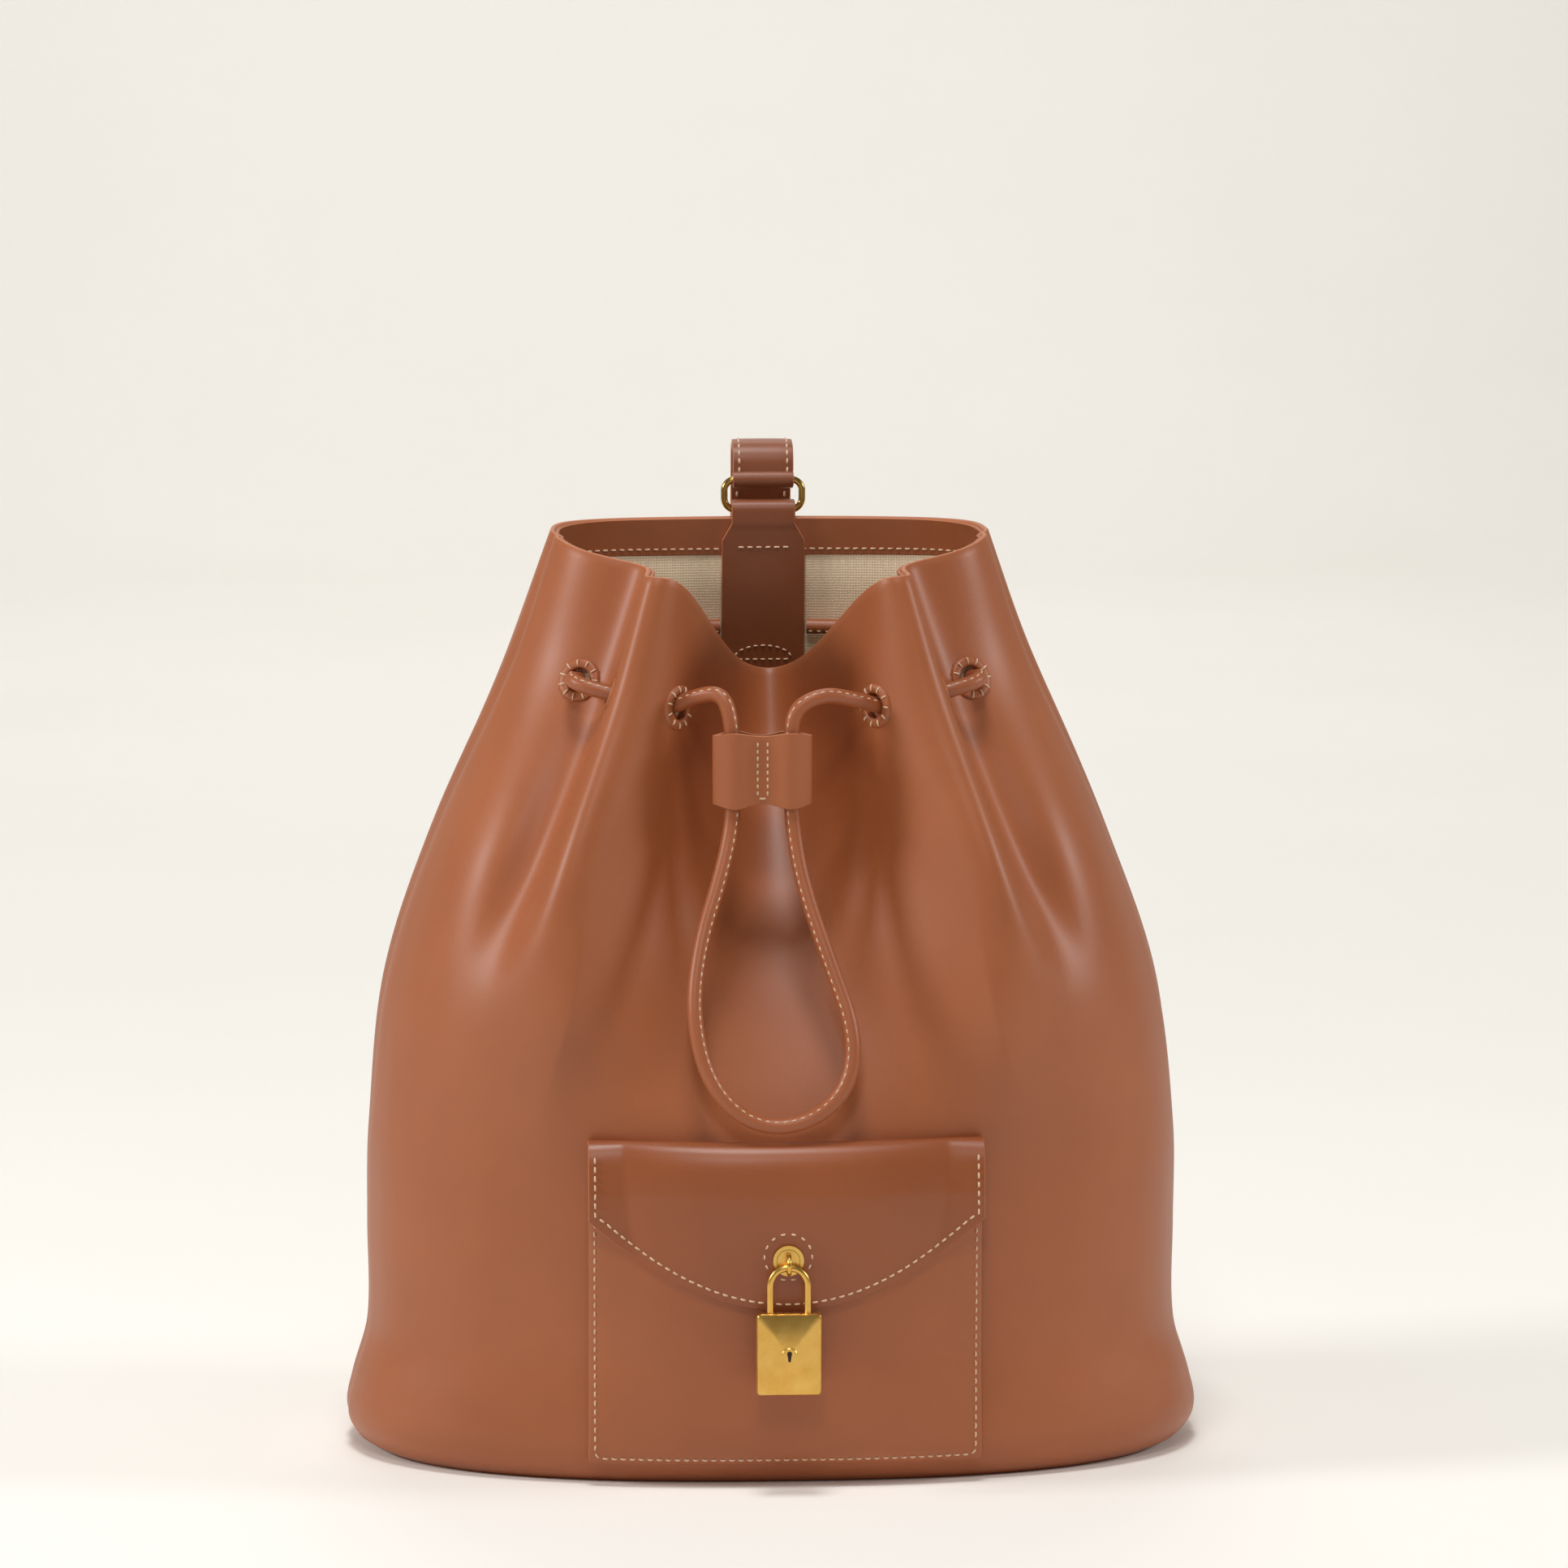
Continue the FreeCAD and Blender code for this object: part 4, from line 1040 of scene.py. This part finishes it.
def relaxed(line, passes):
    """The line with its corners eased, as a hanging strap's are. Its ends stay."""
    line = line.copy()
    for _ in range(passes):
        line[1:-1] = (line[:-2] + 2 * line[1:-1] + line[2:]) / 4
    return line


def line_normals(line):
    tangent = unit(np.gradient(line, axis=0))
    return np.stack([-tangent[:, 1], tangent[:, 0]], axis=1)


def at_x(x, line):
    """A YZ line as points at one x."""
    return np.stack([np.full(len(line), x), line[:, 0], line[:, 1]], axis=1)


def strip_faces(line, width, thickness, count=9):
    """Both faces of a strip along a YZ line, slightly pillowed between its stitched edges."""
    normal = line_normals(line)
    faces = []
    for sign in (1, -1):
        columns = []
        for across in np.linspace(-1, 1, count):
            depth = sign * thickness / 2 * (1 - PILLOW * abs(across) ** 4)
            columns.append(at_x(across * width / 2, line + normal * depth))
        faces.append(np.stack(columns, axis=1))
    return faces


def make_strip(name, line, width, thickness):
    """A plain strip of strap leather along a YZ line."""
    outer, inner = strip_faces(np.array(line), width, thickness)
    # Its leather is the darker copy, as painted shade.
    strip = slab(name, outer, inner, face=SHADED_STRAP, bulge=STRAP_BULGE)
    return strip


def make_strap(name, line, node, group):
    """A length of the strap, with a line of stitches along both edges of both faces."""
    strap = make_strip(name, line, STRAP_WIDTH, STRAP_THICKNESS)
    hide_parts(node)
    normal = line_normals(line)
    for side in (-1, 1):
        for sign in (1, -1):
            places = line + normal * (sign * (STRAP_THICKNESS / 2 * 0.93))
            seam(group, at_x(side * (STRAP_WIDTH / 2 - INSET), places), at_x(0, sign * normal))
    return strap


def strap_place(along, out):
    """A place by its distance along the strap's straight part and out of its middle."""
    return BUCKLE_TOP + ALONG * along + OUT * out


def rim_lean(z):
    """How far back a leg of the tab is at a height, as it follows the leather."""
    return (320 - z) * 5 / 42


def make_ring_tab():
    """The tab: up inside the back of the rim, round the ring's bar and down the outside."""
    line = [(TAB_INSIDE + rim_lean(z), z) for z in (262, 316)]
    line += [(TAB_INSIDE, 318), (TAB_INSIDE, 320)] + arc(RING_BAR, 2.95, 180, 0, 16)
    line += [(TAB_OVER, 320), (TAB_OVER, 318)]
    line += [(TAB_OUTSIDE + rim_lean(z), z) for z in (315, 292)]
    line = evenly(line, 110)
    faces = strip_faces(line, 1.0, 1.7, 13)
    widths = np.interp(line[:, 1], (262, 264, 312, 318), (TAB_WIDTH - 1, TAB_WIDTH, TAB_WIDTH, TAB_NECK))
    top = np.argmax(line[:, 1])
    widths[top:] = np.minimum(widths[top:], TAB_NECK)
    for face in faces:
        face[..., 0] *= widths[:, None]
    tab = slab("ring_tab_leather", *faces, face=SHADED_STRAP, bulge=STRAP_BULGE)
    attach(tab, "bag")
    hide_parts("ring_tab")


def tab_seam(side, places, pitch=PITCH_OF_SEAM, length=STITCH_LENGTH):
    """Stitches on a leg of the tab: side is -1 on the inner leg's front and 1 on the outer leg's back."""
    face = TAB_INSIDE - 0.85 if side < 0 else TAB_OUTSIDE + 0.87
    points = [(x, face + rim_lean(z), z) for x, z in places]
    seam("bag", points, [(0, side, side * 0.12)] * len(points), pitch, length)


def make_ring_tab_seams():
    """A row under the rim, an arch and a row at the inner leg's end, and the outline of the outer leg."""
    tab_seam(-1, [(-9.5, 309.5), (9.5, 309.5)])
    tab_seam(-1, [(10 * x, 269.5 + 4.5 * z) for x, z in arc((0, 0), 1, 0, 180, 24)], 2.6, 1.8)
    tab_seam(-1, [(-9.5, 269.0), (9.5, 269.0)], 2.8, 1.9)
    tab_seam(1, [(-9, 314), (-9, 295), (-7, 294.5), (9, 294.5), (9, 295), (9, 314)])


def make_lower_tab():
    across = np.linspace(-13, 13, 15)
    outer = np.array([[(x, LOWER_TAB_Y, z) for x in across] for z in np.linspace(12, 38, 15)])
    pad = slab("lower_tab_pad", outer, outer - (0, 1.8, 0), face=SHADED_STRAP, bulge=STRAP_BULGE)
    around = arc(LOWER_BAR, 2.4, -160, 160, 26)
    line = [(85.7, 17.0), (85.9, 20.5), *around, (85.9, 29.5), (85.7, 33.0)]
    loop = make_strip("lower_tab_loop", line, 18.0, 1.5)
    for piece in (pad, loop):
        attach(piece, "bag")
    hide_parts("lower_ring_tab")
    corners = [(-11, 36), (-11, 14), (11, 14), (11, 36), (-11, 36)]
    seam("bag", [(x, LOWER_TAB_Y, z) for x, z in corners], [(0, 1.0, 0)] * len(corners))


def make_straps():
    """The strap's two lengths and the loops at their ends. The four that bend with a ring are returned."""
    upper_path = [(50.45, 335.4), (50.45, 345.6), (66.5, 345.6), (76.0, 290.0), strap_place(72, 0)]
    upper = make_strap("shoulder_strap_leather", rounded_line(upper_path, [7.0, 6.0, 60.0]), "shoulder_strap",
                       "upper_strap")
    upper_loop = make_strip("strap_ring_loop", arc(UPPER_BAR, 2.4, 100, 440, 40), STRAP_WIDTH, 1.7)
    floor = STRAP_THICKNESS / 2 + 0.12
    lower_path = [strap_place(22, -3.5), strap_place(84, -3.5), (120, 76), (158, 34), (160, floor),
                  (128, floor), (RING_END + 1.4, 23.8)]
    line = relaxed(rounded_line(lower_path, [60, 60, 20, 14, 14]), 150)
    lower = make_strap("lower_strap_leather", line, "lower_strap", "lower_strap")
    ends = (("lower_ring_loop", (RING_END, LOWER_BAR[1])), ("buckle_loop", strap_place(20, -5.1)))
    lower_loop, buckle_loop = [make_strip(name, arc(centre, 2.35, 0, 360, 40), STRAP_WIDTH, 1.6)
                               for name, centre in ends]
    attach(buckle_loop, "bag")
    return upper, upper_loop, lower, lower_loop


def make_keeper():
    """The closed band that holds the strap's free end."""
    faces = []
    for inset in (0.0, 1.5):
        outline = [(math.copysign(abs(x) - inset, x), math.copysign(abs(out) - inset, out))
                   for x, out in rounded_corners(12.6, 5.3, 2.0, 7)]
        faces.append(np.array([[(x, *strap_place(42 + along, out - 1.75)) for x, out in outline]
                               for along in np.linspace(-4, 4, 7)]))
    keeper = slab("keeper_leather", *faces, True, SHADED_STRAP, bulge=STRAP_BULGE)
    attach(keeper, "bag")
    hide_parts("strap_keeper")


def make_strap_holes():
    """Dark discs of painted shade in the mouths of the strap's buckle holes, on its outer face."""
    points, faces = [], []
    for along in STRAP_HOLES:
        outlines = [[(x, *strap_place(along + up, out)) for x, up in round_points(24, HOLE_RADIUS)]
                    for out in (STRAP_THICKNESS / 2 - 0.4, STRAP_THICKNESS / 2 + 0.03)]
        new_points, new_faces = stacked(outlines, len(points))
        points += new_points
        faces += new_faces
    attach(add_mesh("strap_holes", points, faces, [HOLE_SHADE], angle=30), "bag")


make_ring_tab()
make_ring_tab_seams()
make_lower_tab()
upper_strap, strap_loop, lower_strap, ring_loop = make_straps()
make_keeper()
make_strap_holes()

# ---------------- bodies of the threads, and the bending pieces' transforms baked

made_threads = make_threads()
for group in ("bag", "cord"):
    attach(made_threads[group], "bag")
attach(made_threads["slider"], "slider")
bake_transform(made_threads["flap"])
for piece in (upper_strap, strap_loop, made_threads["upper_strap"]):
    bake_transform(piece)
for piece in (lower_strap, ring_loop, made_threads["lower_strap"]):
    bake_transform(piece)

# ---------------- floor, backdrop and light

FLOOR_FRONT, WALL_Y, WALL_TOP, STAGE_HALF = -9.0, 4.0, 3.4, 7.0
CURVE = 0.8             # the radius between floor and wall
LAMP_AIM = (0, 0, 0.17)
LOW_AIM = (0, 0, 0.12)
# Each lamp's name, its place, what it points at, its width and its power.
LAMPS = [
    ("left", (-2.2, -0.45, 1.2), LAMP_AIM, 0.6, 27), ("right", (2.2, -0.35, 1.1), LAMP_AIM, 0.6, 17),
    ("top", (-0.1, -0.6, 2.4), LOW_AIM, 0.6, 24), ("front", (-0.2, -1.9, 1.8), LOW_AIM, 0.5, 9),
    ("backdrop", (0.0, 2.2, 2.8), (0, 3.6, 0.5), 1.8, 45),
]


def make_stage():
    """A paper floor that curves up into a wall behind the bag."""
    paper = material("warm_paper", (246, 243, 236), (249, 246, 240), (0.8, 0.9), mottle=2.0, specular=0.1)[0]
    bend = WALL_Y - CURVE
    line = [(FLOOR_FRONT, 0.0), (bend, 0.0)]
    line += [(bend + CURVE * math.sin(turn), CURVE - CURVE * math.cos(turn))
             for turn in np.linspace(0, math.pi / 2, 14)[1:]]
    line.append((WALL_Y, WALL_TOP))
    points = [(x / MM, y / MM, z / MM) for y, z in line for x in (-STAGE_HALF, STAGE_HALF)]
    sweep = add_mesh("studio_sweep", points, grid_faces(len(line), 2), [paper])


def area_light(name, lamp_place, aim, width, power):
    data = bpy.data.lights.new(name, "AREA")
    data.shape = "DISK"
    data.size = width
    data.energy = power
    lamp = added(name, data)
    lamp.location = lamp_place
    look_along(lamp, Vector(aim) - Vector(lamp_place))


make_stage()
for lamp_settings in LAMPS:
    area_light(*lamp_settings)

world = bpy.data.worlds.new("studio")
world.use_nodes = True
world.node_tree.nodes["Background"].inputs["Color"].default_value = linear(244, 242, 236)
world.node_tree.nodes["Background"].inputs["Strength"].default_value = 0.17
bpy.context.scene.world = world
bpy.context.scene.view_settings.view_transform = "Standard"
